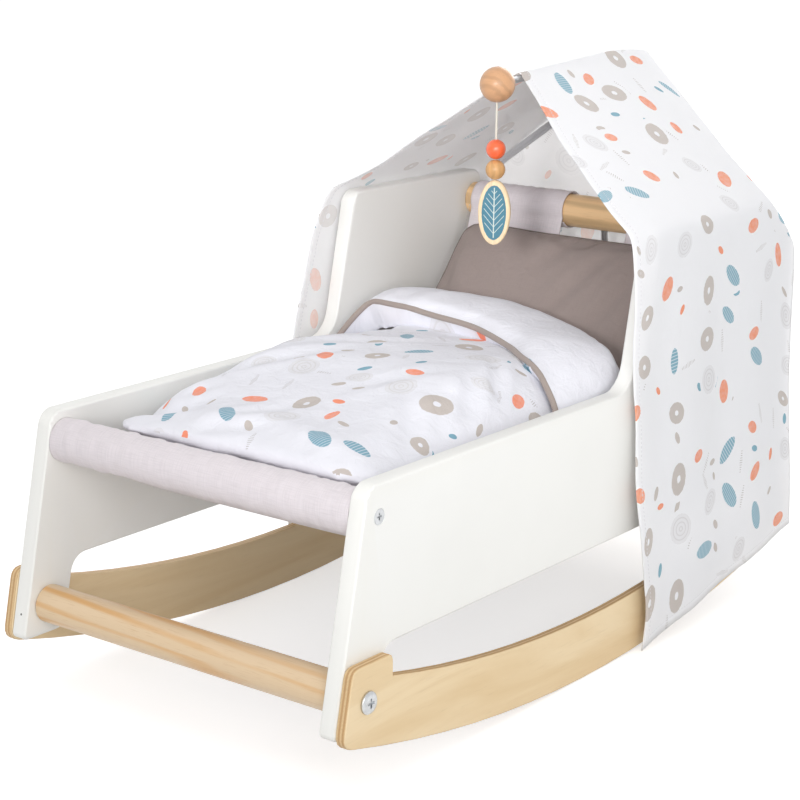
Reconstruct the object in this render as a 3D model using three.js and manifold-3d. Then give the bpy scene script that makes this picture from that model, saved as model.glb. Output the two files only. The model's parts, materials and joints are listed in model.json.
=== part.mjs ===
// Doll cradle on rockers, with a cloth canopy on a bent rod, a small mobile and bedding.
// X runs across the cradle, Y from the foot end to the head end, Z up from the floor.
// The origin lies on the floor, midway between the rockers. All sizes are millimetres.

import * as THREE from 'three';
import { mergeVertices } from 'three/addons/utils/BufferGeometryUtils.js';
import Module from 'manifold-3d';

const wasm = await Module();
wasm.setup();

// Stock sizes and clearances
const dowelDiameter = 25;
const dowelChamfer = 1.2;
const panelThickness = 12;
const rockerThickness = 7;
const panelArris = 1.5;
const rockerArris = 0.8;
const fitGap = 0.3;
const cutOverrun = 2;
const weldTolerance = 1e-4;

// Side panels, seen from the side
const insideWidth = 244;
const lowTopHeight = 185;
const tallTopHeight = 290;
const bellyHeight = 84.6;
const legFootHeight = 38;
const legWidth = 37.5;
const footReach = 270.2;
const headSetback = 0.6;
const stepReach = 45.9;
const footLeanShare = 0.204;
const headLeanShare = 0.157;
const stepLeanShare = 0.212;
const footCornerRadius = 12;
const stepRadius = 22;
const tallCornerRadius = 11;
const legFilletRadius = 14;
const legToeRadius = 4;
const legHeelRadius = 9;

// Rockers
const rockerRadius = 1026;
const rockerDepth = 42;
const rockerTopRadius = 980;
const earHeight = 82;
const earInset = 46.7;
const earOuterRadius = 6;
const earInnerRadius = 5;
const rockerToeRadius = 9;
const rockerFacets = 17;

// Places of the two lower dowels and the two upper rails, in from the panels' feet and tops
const lowerDowelInset = 22.6;
const lowerDowelHeight = 58.8;
const footRailInset = 41.2;
const footRailDrop = 20.4;
const headRailInset = 49.2;
const headRailDrop = 22.3;

// Bolts and screws
const boltShankRadius = 3;
const boltLength = 45;
const boltHeadRadius = 7;
const boltHeadHeight = 2.2;
const boltDomeShares = [[1, 0.45], [0.9, 0.8], [0.7, 1]];
const boltPointShare = 0.7;
const boltRecessSize = 6;
const boltRecessWidth = 1.6;
const boltRecessDepth = 1.3;
const screwShankRadius = 2.2;
const screwLength = 40;
const screwHeadRadius = 4.8;
const screwHeadDepth = 2.6;
const screwSink = 0.2;
const screwRecessSize = 4.4;
const screwRecessWidth = 1.1;
const screwRecessDepth = 1;

// Canopy pole, its ball and the mobile
const poleRadius = 2.5;
const poleBendRadius = 20;
const poleFootDepth = 6;
const ballRadius = 12.5;
const ballReach = 73.4;
const ballHeight = 377.2;
const ballBoreDepth = 9;
const ridgeRiseShare = 0.066;
const stringRadius = 0.8;
const stringNeck = 3;
const stringSwingGap = 0.7;
const stringFreeLength = 25.6;
const beadRadius = 7;
const beadBoreRadius = 1.3;
const pendantHeight = 46;
const pendantWidth = 23;
const pendantThickness = 4.5;
const pendantArris = 0.8;
const pendantBoreRadius = 1.2;
const pendantBoreDepth = 6;
const pendantTurn = THREE.MathUtils.degToRad(25);

// Sling
const slingCloth = 1.2;
const slingSideGap = 1.2;
const slingSag = 53.6;
const slingLoopInner = 29;
const slingLoopInset = 8;
const slingNotchDrop = 41.7;
const slingLeaveAngle = THREE.MathUtils.degToRad(-65);
const slingArriveAngle = THREE.MathUtils.degToRad(200);

// Canopy cloth
const canopyCloth = 1.6;
const canopyRearOverhang = 0.4;
const canopyHemDrawIn = 7;
const canopyFrontOverhang = 31.16;
const canopyFlare = 14.6;
const canopyHemFront = 2.6;
const canopyHemRear = 41;
const canopyWallInset = 7;
const canopyWallHem = 92;
const canopyRidgeDroop = 6;
const canopyLeftEaveDroop = 3;
const canopyRightEaveDroop = 33;
const canopySlopeSwell = 1.2;
const canopyFoldDepth = 2.4;

// Duvet
const duvetSideGap = 5.5;
const duvetFootSetback = 17;
const duvetFootRadius = 14;
const duvetFootDrawIn = 9;
const duvetCrestSetback = 35;
const duvetCrestRise = 48.4;
const duvetCrestRound = 8;
const duvetRearRun = 42;
const duvetSideLift = 9;
const duvetLipHeight = 6;
const duvetLipBulge = 3;
const duvetFlapPuff = 4;

// Pillow
const pillowSideGap = 6.5;
const pillowLength = 128;
const pillowThickness = 32;
const pillowSetback = 66.4;
const pillowBearing = 45;
const pillowStandOff = 16.47;
const pillowTip = THREE.MathUtils.degToRad(1.75);
const cushionDrawInShare = 0.04;
const cushionCornerDraw = 9;
const cushionColumns = 20;
const cushionRows = 14;

// Sizes that follow from the values above
const dowelRadius = dowelDiameter / 2;
const panelInner = insideWidth / 2;
const panelOuter = panelInner + panelThickness;
const rockerInner = panelOuter + fitGap;
const rockerOuter = rockerInner + rockerThickness;
const headReach = footReach - headSetback;
const earInnerReach = footReach - earInset;
const lowerDowelReach = footReach - lowerDowelInset;
const footRailReach = footReach - footRailInset;
const footRailHeight = lowTopHeight - footRailDrop;
const headRailReach = headReach - headRailInset;
const headRailHeight = tallTopHeight - headRailDrop;
const slingLowHeight = footRailHeight - slingSag;
const slingNotchHeight = headRailHeight - slingNotchDrop;
const slingLoopOuter = panelInner - slingLoopInset;
const canopyRear = headReach + canopyRearOverhang;
const canopyRearHem = canopyRear - canopyHemDrawIn;
const canopyWallReach = canopyRear - canopyWallInset;
const pillowReach = headRailReach - pillowSetback;
const pillowWidth = insideWidth - 2 * pillowSideGap;
const duvetWidth = insideWidth - 2 * duvetSideGap;
const duvetFoot = footRailReach - duvetFootSetback;
const duvetCrestReach = pillowReach - duvetCrestSetback;
const duvetCrestHeight = footRailHeight + duvetCrestRise;
const sides = [
  { name: 'left', sign: -1, eaveDroop: canopyLeftEaveDroop },
  { name: 'right', sign: 1, eaveDroop: canopyRightEaveDroop },
];
const lowerDowels = [
  { name: 'front', y: -lowerDowelReach, z: lowerDowelHeight },
  { name: 'rear', y: lowerDowelReach, z: lowerDowelHeight },
];
const upperRails = [
  { name: 'front', y: -footRailReach, z: footRailHeight },
  { name: 'rear', y: headRailReach, z: headRailHeight },
];

// Materials
function finish(color, roughness, metalness = 0) {
  return new THREE.MeshStandardMaterial({ color, roughness, metalness });
}
const materials = {
  lacquer: finish(0xf6f6f3, 0.45),
  birch: finish(0xe4cb9e, 0.5),
  pine: finish(0xe8d0aa, 0.5),
  zinc: finish(0xc4c6c8, 0.3, 0.9),
  steel: finish(0xb9bcc0, 0.3, 0.9),
  beech: finish(0xdca878, 0.45),
  orange: finish(0xee6f45, 0.4),
  leaf: finish(0x3f7f92, 0.5),
  cord: finish(0xf4f1ea, 0.9),
  cloth: finish(0xf3f2f6, 0.9),
  print: finish(0xf1f0f4, 0.9),
  taupe: finish(0xa59892, 0.9),
};

// Conversions between three.js geometry and solids for cutting and joining
function toSolid(geometry) {
  const bare = new THREE.BufferGeometry();
  bare.setAttribute('position', geometry.getAttribute('position').clone());
  if (geometry.index) {
    bare.setIndex(geometry.index.clone());
  }
  const merged = mergeVertices(bare, weldTolerance);
  const index = merged.index.array;
  const triangles = [];
  for (let i = 0; i < index.length; i += 3) {
    const [a, b, c] = [index[i], index[i + 1], index[i + 2]];
    if (a !== b && b !== c && c !== a) {
      triangles.push(a, b, c);
    }
  }
  return new wasm.Manifold(new wasm.Mesh({
    numProp: 3,
    vertProperties: new Float32Array(merged.getAttribute('position').array),
    triVerts: new Uint32Array(triangles),
  }));
}

function toGeometry(solid) {
  const mesh = solid.getMesh();
  const geometry = new THREE.BufferGeometry();
  geometry.setAttribute('position', new THREE.BufferAttribute(mesh.vertProperties, 3));
  geometry.setIndex(new THREE.BufferAttribute(mesh.triVerts, 1));
  geometry.computeVertexNormals();
  return geometry;
}

function cut(geometry, ...tools) {
  return toGeometry(tools.reduce((body, tool) => body.subtract(toSolid(tool)), toSolid(geometry)));
}

function join(...geometries) {
  return toGeometry(geometries.map(toSolid).reduce((body, other) => body.add(other)));
}

// Places a profile drawn as (y, z) in the side plane and pushed along its normal, along X
function intoSidePlane(geometry) {
  const basis = new THREE.Matrix4().makeBasis(
    new THREE.Vector3(0, 1, 0),
    new THREE.Vector3(0, 0, 1),
    new THREE.Vector3(1, 0, 0),
  );
  return geometry.applyMatrix4(basis);
}

// A closed outline from corners [y, z, radius], each corner rounded by its own arc
function roundedOutline(corners) {
  const shape = new THREE.Shape();
  corners.forEach(([y, z, radius], i) => {
    const corner = new THREE.Vector2(y, z);
    const before = new THREE.Vector2(...corners.at(i - 1));
    const after = new THREE.Vector2(...corners[(i + 1) % corners.length]);
    const toBefore = before.sub(corner).normalize();
    const toAfter = after.sub(corner).normalize();
    const halfAngle = Math.acos(toBefore.dot(toAfter)) / 2;
    const bisector = toBefore.clone().add(toAfter).normalize();
    const centre = corner.clone().addScaledVector(bisector, radius / Math.sin(halfAngle));
    const start = corner.clone().addScaledVector(toBefore, radius / Math.tan(halfAngle));
    const end = corner.clone().addScaledVector(toAfter, radius / Math.tan(halfAngle));
    const clockwise = toBefore.cross(toAfter) > 0;
    const startAngle = start.clone().sub(centre).angle();
    const endAngle = end.clone().sub(centre).angle();
    shape.absarc(centre.x, centre.y, radius, startAngle, endAngle, clockwise);
  });
  return shape;
}

// A board of the given outline, centred on X = 0, with its edges eased by a small bevel
function board(shape, thickness, arris, curveSegments) {
  const geometry = new THREE.ExtrudeGeometry(shape, {
    depth: thickness - 2 * arris,
    bevelEnabled: true,
    bevelThickness: arris,
    bevelSize: arris,
    bevelOffset: -arris,
    bevelSegments: 1,
    curveSegments,
  });
  geometry.translate(0, 0, arris - thickness / 2);
  return intoSidePlane(geometry);
}

// A flat-sided bar of the given outline, centred on X = 0
function bar(shape, width, curveSegments) {
  const geometry = new THREE.ExtrudeGeometry(shape, { depth: width, bevelEnabled: false, curveSegments });
  geometry.translate(0, 0, -width / 2);
  return intoSidePlane(geometry);
}

// Turned body with its axis along Z, from a profile of [radius, height] points, lowest first
function turned(profile, segments) {
  const points = profile.map(([radius, height]) => new THREE.Vector2(radius, height));
  return new THREE.LatheGeometry(points, segments).rotateX(Math.PI / 2);
}

// Points of an arc in a turned profile, from one angle above the equator to another
function profileArc(centreHeight, radius, fromAngle, toAngle, steps) {
  const points = [];
  for (let i = 0; i <= steps; i += 1) {
    const angle = THREE.MathUtils.lerp(fromAngle, toAngle, i / steps);
    points.push([radius * Math.cos(angle), centreHeight + radius * Math.sin(angle)]);
  }
  return points;
}

// Value of a table of [at, value] pairs, straight between its entries
function tableValue(table, at) {
  const last = table.length - 1;
  if (at <= table[0][0]) {
    return table[0][1];
  }
  for (let i = 0; i < last; i += 1) {
    const [lowAt, lowValue] = table[i];
    const [highAt, highValue] = table[i + 1];
    if (at <= highAt) {
      return THREE.MathUtils.mapLinear(at, lowAt, highAt, lowValue, highValue);
    }
  }
  return table[last][1];
}

// The panel's leaning foot, head and step edges, as y at a given height
function footEdge(z) {
  return -footReach + footLeanShare * (z - legFootHeight);
}

function headEdge(z) {
  return headReach - headLeanShare * (z - legFootHeight);
}

function stepEdge(z) {
  return stepReach + stepLeanShare * (z - lowTopHeight);
}

const canopyEaveFront = stepEdge(tallTopHeight) - canopyFrontOverhang;

// Hole cutters along X: shank holes for bolts and countersunk holes for screws
function shankCutter(radius, length, y, z) {
  return new THREE.CylinderGeometry(radius, radius, length, 16)
    .rotateZ(Math.PI / 2)
    .translate(0, y, z);
}

function countersinkCutter(sign, y, z) {
  const faceHeight = panelThickness / 2;
  const cutter = turned([
    [0, -faceHeight - cutOverrun],
    [screwShankRadius + fitGap, -faceHeight - cutOverrun],
    [screwShankRadius + fitGap, faceHeight - screwSink - screwHeadDepth],
    [screwHeadRadius + fitGap, faceHeight - screwSink],
    [screwHeadRadius + fitGap, faceHeight + cutOverrun],
    [0, faceHeight + cutOverrun],
  ], 20);
  return cutter.rotateY(sign * Math.PI / 2).translate(0, y, z);
}

// Side panel: low foot half, tall head half, two legs, drilled for bolts and rail screws
function sidePanel(sign) {
  const outline = roundedOutline([
    [footEdge(legFootHeight), legFootHeight, legToeRadius],
    [footEdge(legFootHeight) + legWidth, legFootHeight, legHeelRadius],
    [footEdge(bellyHeight) + legWidth, bellyHeight, legFilletRadius],
    [headEdge(bellyHeight) - legWidth, bellyHeight, legFilletRadius],
    [headEdge(legFootHeight) - legWidth, legFootHeight, legHeelRadius],
    [headEdge(legFootHeight), legFootHeight, legToeRadius],
    [headEdge(tallTopHeight), tallTopHeight, tallCornerRadius],
    [stepEdge(tallTopHeight), tallTopHeight, tallCornerRadius],
    [stepEdge(lowTopHeight), lowTopHeight, stepRadius],
    [footEdge(lowTopHeight), lowTopHeight, footCornerRadius],
  ]);
  const boltHoles = lowerDowels.map(({ y, z }) => (
    shankCutter(boltShankRadius + fitGap, panelThickness + cutOverrun, y, z)
  ));
  const screwHoles = upperRails.map(({ y, z }) => countersinkCutter(sign, y, z));
  return cut(board(outline, panelThickness, panelArris, 3), ...boltHoles, ...screwHoles);
}

// Arc of a rocker's edge about a centre above it, added to its outline point by point
function addRockerArc(shape, centreHeight, radius, fromY, toY) {
  for (let i = 0; i <= rockerFacets; i += 1) {
    const y = THREE.MathUtils.lerp(fromY, toY, i / rockerFacets);
    shape.lineTo(y, centreHeight - Math.sqrt(radius ** 2 - y ** 2));
  }
}

// Rocker: a long arc between two ears whose outer edges run on from the panel's legs. The
// arc is cut into an odd number of flats, so that it stands on the middle one.
function rocker() {
  const shape = new THREE.Shape();
  const earSide = (z) => -footEdge(z);
  const toeHeight = rockerRadius - Math.sqrt(rockerRadius ** 2 - footReach ** 2);
  const toeY = earSide(toeHeight);
  const arcY = toeY - rockerToeRadius;
  const arcCentre = Math.sqrt(rockerRadius ** 2 - (arcY / rockerFacets) ** 2);
  const arcEndHeight = arcCentre - Math.sqrt(rockerRadius ** 2 - arcY ** 2);
  const toeTop = toeHeight + rockerToeRadius;
  const sideTop = earHeight - earOuterRadius;
  const innerTop = earHeight - earInnerRadius;
  shape.moveTo(-arcY, arcEndHeight);
  addRockerArc(shape, arcCentre, rockerRadius, -arcY, arcY);
  shape.quadraticCurveTo(toeY, toeHeight, earSide(toeTop), toeTop);
  shape.lineTo(earSide(sideTop), sideTop);
  shape.quadraticCurveTo(earSide(earHeight), earHeight, earSide(earHeight) - earOuterRadius, earHeight);
  shape.lineTo(earInnerReach + earInnerRadius, earHeight);
  shape.quadraticCurveTo(earInnerReach, earHeight, earInnerReach, innerTop);
  addRockerArc(shape, rockerDepth + rockerTopRadius, rockerTopRadius, earInnerReach, -earInnerReach);
  shape.lineTo(-earInnerReach, innerTop);
  shape.quadraticCurveTo(-earInnerReach, earHeight, -earInnerReach - earInnerRadius, earHeight);
  shape.lineTo(earOuterRadius - earSide(earHeight), earHeight);
  shape.quadraticCurveTo(-earSide(earHeight), earHeight, -earSide(sideTop), sideTop);
  shape.lineTo(-earSide(toeTop), toeTop);
  shape.quadraticCurveTo(-toeY, toeHeight, -arcY, arcEndHeight);
  const holes = lowerDowels.map(({ y, z }) => (
    shankCutter(boltShankRadius + fitGap, rockerThickness + cutOverrun, y, z)
  ));
  return cut(board(shape, rockerThickness, rockerArris, 4), ...holes);
}

// Dowel between the panels, chamfered, with a blind bore in each end for its fastener
function dowel(boreRadius, boreDepth) {
  const half = insideWidth / 2 - fitGap;
  const inner = half - boreDepth;
  const profile = [
    [0, -inner],
    [boreRadius, -inner],
    [boreRadius, -half],
    [dowelRadius - dowelChamfer, -half],
    [dowelRadius, -half + dowelChamfer],
    [dowelRadius, half - dowelChamfer],
    [dowelRadius - dowelChamfer, half],
    [boreRadius, half],
    [boreRadius, inner],
    [0, inner],
  ];
  return turned(profile, 28).rotateY(Math.PI / 2);
}

// Direction of the pole's upright, from the rear lower dowel to the rear upper rail
const poleDirection = new THREE.Vector3(
  0,
  headRailReach - lowerDowelReach,
  headRailHeight - lowerDowelHeight,
).normalize();

// Cutter for the pole's hole in a dowel whose axis passes through the origin
function poleHoleCutter(belowAxis) {
  const above = dowelDiameter;
  const cutter = new THREE.CylinderGeometry(poleRadius + fitGap, poleRadius + fitGap, above + belowAxis, 16)
    .rotateX(Math.PI / 2)
    .translate(0, 0, (above - belowAxis) / 2);
  const turn = new THREE.Quaternion().setFromUnitVectors(new THREE.Vector3(0, 0, 1), poleDirection);
  return cutter.applyQuaternion(turn);
}

// Cross recess cut into a fastener's head, whose top lies at the given height
function recessCutters(size, width, depth, top) {
  return [[size, width], [width, size]].map(([sizeX, sizeY]) => (
    new THREE.BoxGeometry(sizeX, sizeY, depth + cutOverrun)
      .translate(0, 0, top + (cutOverrun - depth) / 2)
  ));
}

// Bolt with a low domed head, its axis along Z and the seat of its head at zero
function bolt() {
  const profile = [
    [0, -boltLength],
    [boltShankRadius * boltPointShare, -boltLength],
    [boltShankRadius, -boltLength + boltShankRadius],
    [boltShankRadius, 0],
    [boltHeadRadius, 0],
    ...boltDomeShares.map(([across, up]) => [boltHeadRadius * across, boltHeadHeight * up]),
    [0, boltHeadHeight],
  ];
  return cut(turned(profile, 18), ...recessCutters(
    boltRecessSize, boltRecessWidth, boltRecessDepth, boltHeadHeight,
  ));
}

// Countersunk screw, its axis along Z and the top of its head at zero
function screw() {
  const profile = [
    [0, -screwLength],
    [screwShankRadius, -screwLength + 2 * screwShankRadius],
    [screwShankRadius, -screwHeadDepth],
    [screwHeadRadius, 0],
    [0, 0],
  ];
  return cut(turned(profile, 16), ...recessCutters(screwRecessSize, screwRecessWidth, screwRecessDepth, 0));
}

// Height of the ridge stretch of the pole's axis at a given y
function ridgeAxis(y) {
  return ballHeight + ridgeRiseShare * (y - ballReach);
}

const ballCentre = new THREE.Vector3(0, ballReach, ballHeight);
const ridgeDirection = new THREE.Vector3(0, -1, -ridgeRiseShare).normalize();
const headDowelAxis = new THREE.Vector3(0, lowerDowelReach, lowerDowelHeight);

// Where the upright's axis would cross the ridge stretch's axis, if neither were bent
function poleCorner() {
  const lean = poleDirection.y / poleDirection.z;
  const y = (headRailReach + lean * (ridgeAxis(0) - headRailHeight)) / (1 - lean * ridgeRiseShare);
  return new THREE.Vector3(0, y, ridgeAxis(y));
}

// Canopy pole: upright, bend and ridge stretch as one rod
function canopyPole() {
  const corner = poleCorner();
  const tangent = poleBendRadius * Math.tan(poleDirection.angleTo(ridgeDirection) / 2);
  const foot = headDowelAxis.clone().addScaledVector(poleDirection, -poleFootDepth);
  const bendStart = corner.clone().addScaledVector(poleDirection, -tangent);
  const bendEnd = corner.clone().addScaledVector(ridgeDirection, tangent);
  const tip = ballCentre.clone().addScaledVector(ridgeDirection, ballBoreDepth - ballRadius - fitGap);
  const path = new THREE.CurvePath();
  path.add(new THREE.LineCurve3(foot, bendStart));
  path.add(new THREE.QuadraticBezierCurve3(bendStart, corner, bendEnd));
  path.add(new THREE.LineCurve3(bendEnd, tip));
  const section = new THREE.Shape().absarc(0, 0, poleRadius, 0, 2 * Math.PI);
  return new THREE.ExtrudeGeometry(section, { steps: 72, extrudePath: path, curveSegments: 6 });
}

// Ball on the pole's end, with the blind bore that takes the rod
function poleBall() {
  const boreRadius = poleRadius + fitGap;
  const boreAngle = Math.acos(boreRadius / ballRadius);
  const profile = [
    ...profileArc(0, ballRadius, -Math.PI / 2, boreAngle, 12),
    [boreRadius, ballRadius - ballBoreDepth],
    [0, ballRadius - ballBoreDepth],
  ];
  const turn = new THREE.Quaternion().setFromUnitVectors(
    new THREE.Vector3(0, 0, 1),
    ridgeDirection.clone().negate(),
  );
  return turned(profile, 24).applyQuaternion(turn);
}

// Stretch of string hanging from its top end
function stringStretch(length) {
  const section = new THREE.Shape().absarc(0, 0, stringRadius, 0, 2 * Math.PI);
  const path = new THREE.LineCurve3(new THREE.Vector3(0, 0, 0), new THREE.Vector3(0, 0, -length));
  const steps = Math.max(1, Math.round(length / (6 * stringRadius)));
  return new THREE.ExtrudeGeometry(section, { steps, extrudePath: path, curveSegments: 4 });
}

// Bead bored through along Z
function bead() {
  const boreAngle = Math.acos(beadBoreRadius / beadRadius);
  const outside = profileArc(0, beadRadius, -boreAngle, boreAngle, 10);
  return turned([...outside, outside[0]], 20);
}

// Oval pendant with its face to the front and a blind bore in its top for the string
function leafPendant() {
  const shape = new THREE.Shape().absellipse(0, 0, pendantWidth / 2, pendantHeight / 2, 0, 2 * Math.PI);
  const plate = new THREE.ExtrudeGeometry(shape, {
    depth: pendantThickness - 2 * pendantArris,
    bevelEnabled: true,
    bevelThickness: pendantArris,
    bevelSize: pendantArris,
    bevelOffset: -pendantArris,
    bevelSegments: 1,
    curveSegments: 14,
  });
  plate.translate(0, 0, pendantArris - pendantThickness / 2).rotateX(Math.PI / 2);
  const bore = new THREE.CylinderGeometry(pendantBoreRadius, pendantBoreRadius, 2 * pendantBoreDepth, 12)
    .rotateX(Math.PI / 2)
    .translate(0, 0, pendantHeight / 2);
  return cut(plate, bore);
}

// Centre line of the sling between the rails, with its ends on the loops round them
const slingSagShares = [
  [0.178, 0.102],
  [0.291, 0.032],
  [0.403, 0],
  [0.516, 0],
  [0.629, 0.045],
  [0.719, 0.147],
  [0.809, 0.332],
  [0.888, 0.549],
  [0.944, 0.759],
];
const slingLoopRadius = dowelRadius + fitGap + slingCloth / 2;

function slingLine() {
  const span = headRailReach + footRailReach;
  const rise = headRailHeight - slingLowHeight;
  const leave = new THREE.Vector2(slingLoopRadius, 0).rotateAround(new THREE.Vector2(), slingLeaveAngle);
  const arrive = new THREE.Vector2(slingLoopRadius, 0).rotateAround(new THREE.Vector2(), slingArriveAngle);
  const between = slingSagShares.map(([yShare, zShare]) => (
    new THREE.Vector2(yShare * span - footRailReach, slingLowHeight + zShare * rise)
  ));
  return new THREE.SplineCurve([
    leave.add(new THREE.Vector2(-footRailReach, footRailHeight)),
    ...between,
    arrive.add(new THREE.Vector2(headRailReach, headRailHeight)),
  ]);
}

const slingCentreLine = slingLine().getSpacedPoints(40);

// Height of the sling's upper face at a given y
function slingTop(y) {
  const table = slingCentreLine.map((point) => [point.x, point.y]);
  return tableValue(table, y) + slingCloth;
}

// Sling: a tunnel round the front rail, the sagging bed and two loops round the rear rail
function sling() {
  const halfWidth = panelInner - slingSideGap;
  const upper = [];
  const lower = [];
  slingCentreLine.forEach((point, i) => {
    const next = slingCentreLine[Math.min(i + 1, slingCentreLine.length - 1)];
    const previous = slingCentreLine[Math.max(i - 1, 0)];
    const normal = next.clone().sub(previous).normalize().rotateAround(new THREE.Vector2(), Math.PI / 2);
    upper.push(point.clone().addScaledVector(normal, slingCloth / 2));
    lower.push(point.clone().addScaledVector(normal, -slingCloth / 2));
  });
  const bed = bar(new THREE.Shape([...lower, ...upper.reverse()]), 2 * halfWidth, 1);
  const loop = (width) => {
    const ring = new THREE.Shape().absarc(0, 0, slingLoopRadius + slingCloth / 2, 0, 2 * Math.PI);
    ring.holes.push(new THREE.Path().absarc(0, 0, slingLoopRadius - slingCloth / 2, 0, 2 * Math.PI, true));
    return bar(ring, width, 14);
  };
  const notchTop = 2 * headRailHeight;
  const notch = (fromX, toX) => new THREE.BoxGeometry(toX - fromX, headRailReach, notchTop - slingNotchHeight)
    .translate((fromX + toX) / 2, headRailReach, (notchTop + slingNotchHeight) / 2);
  const trimmedBed = cut(
    bed,
    notch(-slingLoopInner, slingLoopInner),
    notch(slingLoopOuter, panelInner),
    notch(-panelInner, -slingLoopOuter),
  );
  const rearLoops = sides.map(({ sign }) => loop(slingLoopOuter - slingLoopInner).translate(
    sign * (slingLoopOuter + slingLoopInner) / 2,
    headRailReach,
    headRailHeight,
  ));
  const tunnel = loop(2 * halfWidth).translate(0, -footRailReach, footRailHeight);
  return join(trimmedBed, tunnel, ...rearLoops);
}

// A closed sheet from a grid of middle points, half its thickness out to either side
function thickSheet(grid, thickness) {
  const rows = grid.length;
  const columns = grid[0].length;
  const positions = [];
  const place = (side) => {
    for (let i = 0; i < rows; i += 1) {
      for (let j = 0; j < columns; j += 1) {
        const acrossRow = grid[Math.min(i + 1, rows - 1)][j].clone().sub(grid[Math.max(i - 1, 0)][j]);
        const alongRow = grid[i][Math.min(j + 1, columns - 1)].clone().sub(grid[i][Math.max(j - 1, 0)]);
        const normal = acrossRow.cross(alongRow).normalize();
        const point = grid[i][j].clone().addScaledVector(normal, side * thickness / 2);
        positions.push(point.x, point.y, point.z);
      }
    }
  };
  place(1);
  place(-1);
  const below = rows * columns;
  const at = (i, j) => i * columns + j;
  const index = [];
  const quad = (a, b, c, d) => index.push(a, b, c, a, c, d);
  for (let i = 0; i < rows - 1; i += 1) {
    for (let j = 0; j < columns - 1; j += 1) {
      quad(at(i, j), at(i + 1, j), at(i + 1, j + 1), at(i, j + 1));
      quad(below + at(i, j), below + at(i, j + 1), below + at(i + 1, j + 1), below + at(i + 1, j));
    }
    quad(at(i + 1, 0), at(i, 0), below + at(i, 0), below + at(i + 1, 0));
    const edge = columns - 1;
    quad(at(i, edge), at(i + 1, edge), below + at(i + 1, edge), below + at(i, edge));
  }
  for (let j = 0; j < columns - 1; j += 1) {
    quad(at(0, j), at(0, j + 1), below + at(0, j + 1), below + at(0, j));
    const edge = rows - 1;
    quad(at(edge, j + 1), at(edge, j), below + at(edge, j), below + at(edge, j + 1));
  }
  const geometry = new THREE.BufferGeometry();
  geometry.setAttribute('position', new THREE.Float32BufferAttribute(positions, 3));
  geometry.setIndex(index);
  return geometry;
}

// Canopy: shares of the way down a slope or a hang, against the front edge's setback as a
// share of the eave's length. The two sides differ, because the cloth lies a little askew.
const canopyFrontShares = {
  right: {
    slope: [[0, 0.27], [0.28, 0.18], [0.41, 0.129], [0.72, 0.047], [0.88, 0.013], [1, 0]],
    hang: [[0, 0], [0.3, 0.004], [0.5, 0.03], [0.62, 0.017], [0.83, 0.047], [0.93, 0.073], [1, 0.039]],
  },
  left: {
    slope: [[0, 0.27], [0.28, 0.227], [0.51, 0.185], [0.8, 0.176], [1, 0.073]],
    hang: [
      [0, 0.073], [0.08, 0.026], [0.2, -0.017], [0.32, -0.069], [0.6, -0.082], [0.85, -0.056], [1, -0.021],
    ],
  },
};
const canopyFlareShares = [
  [0, 0], [0.1, 0.12], [0.3, 0.17], [0.5, 0.25], [0.65, 0.5], [0.85, 0.85], [1, 1],
];
const canopySlopeSteps = 7;
const canopyHangSteps = 9;
const canopyLengthSteps = 12;
const canopyFoldCount = 2.5;
const canopyEaveDroopPower = 1.3;

// Cloth lies round the pole and round the panels' top edges at these distances
const ridgeWrap = poleRadius + 2 * fitGap + canopyCloth / 2;
const eaveWrap = 2 * fitGap + canopyCloth / 2;

// How far along the cradle a place on the cloth lies, from its front edge to its rear edge
function canopyReach(frontShare, rear, along) {
  const front = canopyEaveFront + (canopyRear - canopyEaveFront) * frontShare;
  return THREE.MathUtils.lerp(front, rear, along);
}

// Height of the ridge above which the cloth lies, drooping a little behind the pole
function ridgeUnderCloth(y) {
  const behind = Math.max(0, y - poleCorner().y) / (canopyRear - poleCorner().y);
  return ridgeAxis(y) - canopyRidgeDroop * behind ** 2;
}

// Height of the edge over which the cloth folds down: the panel's top edge, and behind it
// the free cloth, which sinks towards its rear edge, deeper on the right
function eaveUnderCloth(side, y) {
  const corner = headEdge(tallTopHeight);
  const behind = Math.max(0, y - corner) / (canopyRear - corner);
  return tallTopHeight - side.eaveDroop * behind ** canopyEaveDroopPower;
}

// Soft swell of the cloth from fold to fold, between 0 and 1
function foldSwell(side, along) {
  return 0.5 - 0.5 * Math.cos(2 * Math.PI * (canopyFoldCount * along + side.sign / 6));
}

function canopySlopeAngle(side, y) {
  return Math.atan2(ridgeUnderCloth(y) - eaveUnderCloth(side, y), panelOuter);
}

// Place on a roof slope, share 0 beside the ridge and 1 at the eave
function slopePoint(side, share, along) {
  const y = canopyReach(tableValue(canopyFrontShares[side.name].slope, share), canopyRear, along);
  const angle = canopySlopeAngle(side, y);
  const away = new THREE.Vector2(Math.sin(angle), Math.cos(angle));
  const top = new THREE.Vector2(0, ridgeUnderCloth(y)).addScaledVector(away, ridgeWrap);
  const eave = new THREE.Vector2(panelOuter, eaveUnderCloth(side, y)).addScaledVector(away, eaveWrap);
  const swell = canopySlopeSwell * foldSwell(side, along) * Math.sin(Math.PI * share) ** 2;
  const point = top.lerp(eave, share).addScaledVector(away, swell);
  return new THREE.Vector3(side.sign * point.x, y, point.y);
}

// Place on a side hang, drop 0 at the eave and 1 at the hem
function hangPoint(side, drop, along) {
  const rear = THREE.MathUtils.lerp(canopyRear, canopyRearHem, drop);
  const y = canopyReach(tableValue(canopyFrontShares[side.name].hang, drop), rear, along);
  const hem = THREE.MathUtils.lerp(canopyHemFront, canopyHemRear, along);
  const fold = canopyFoldDepth * (1 - foldSwell(side, along)) * Math.sin(Math.PI * drop);
  const x = panelOuter + eaveWrap + canopyFlare * tableValue(canopyFlareShares, drop) + fold;
  return new THREE.Vector3(side.sign * x, y, THREE.MathUtils.lerp(eaveUnderCloth(side, y), hem, drop));
}

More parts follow.
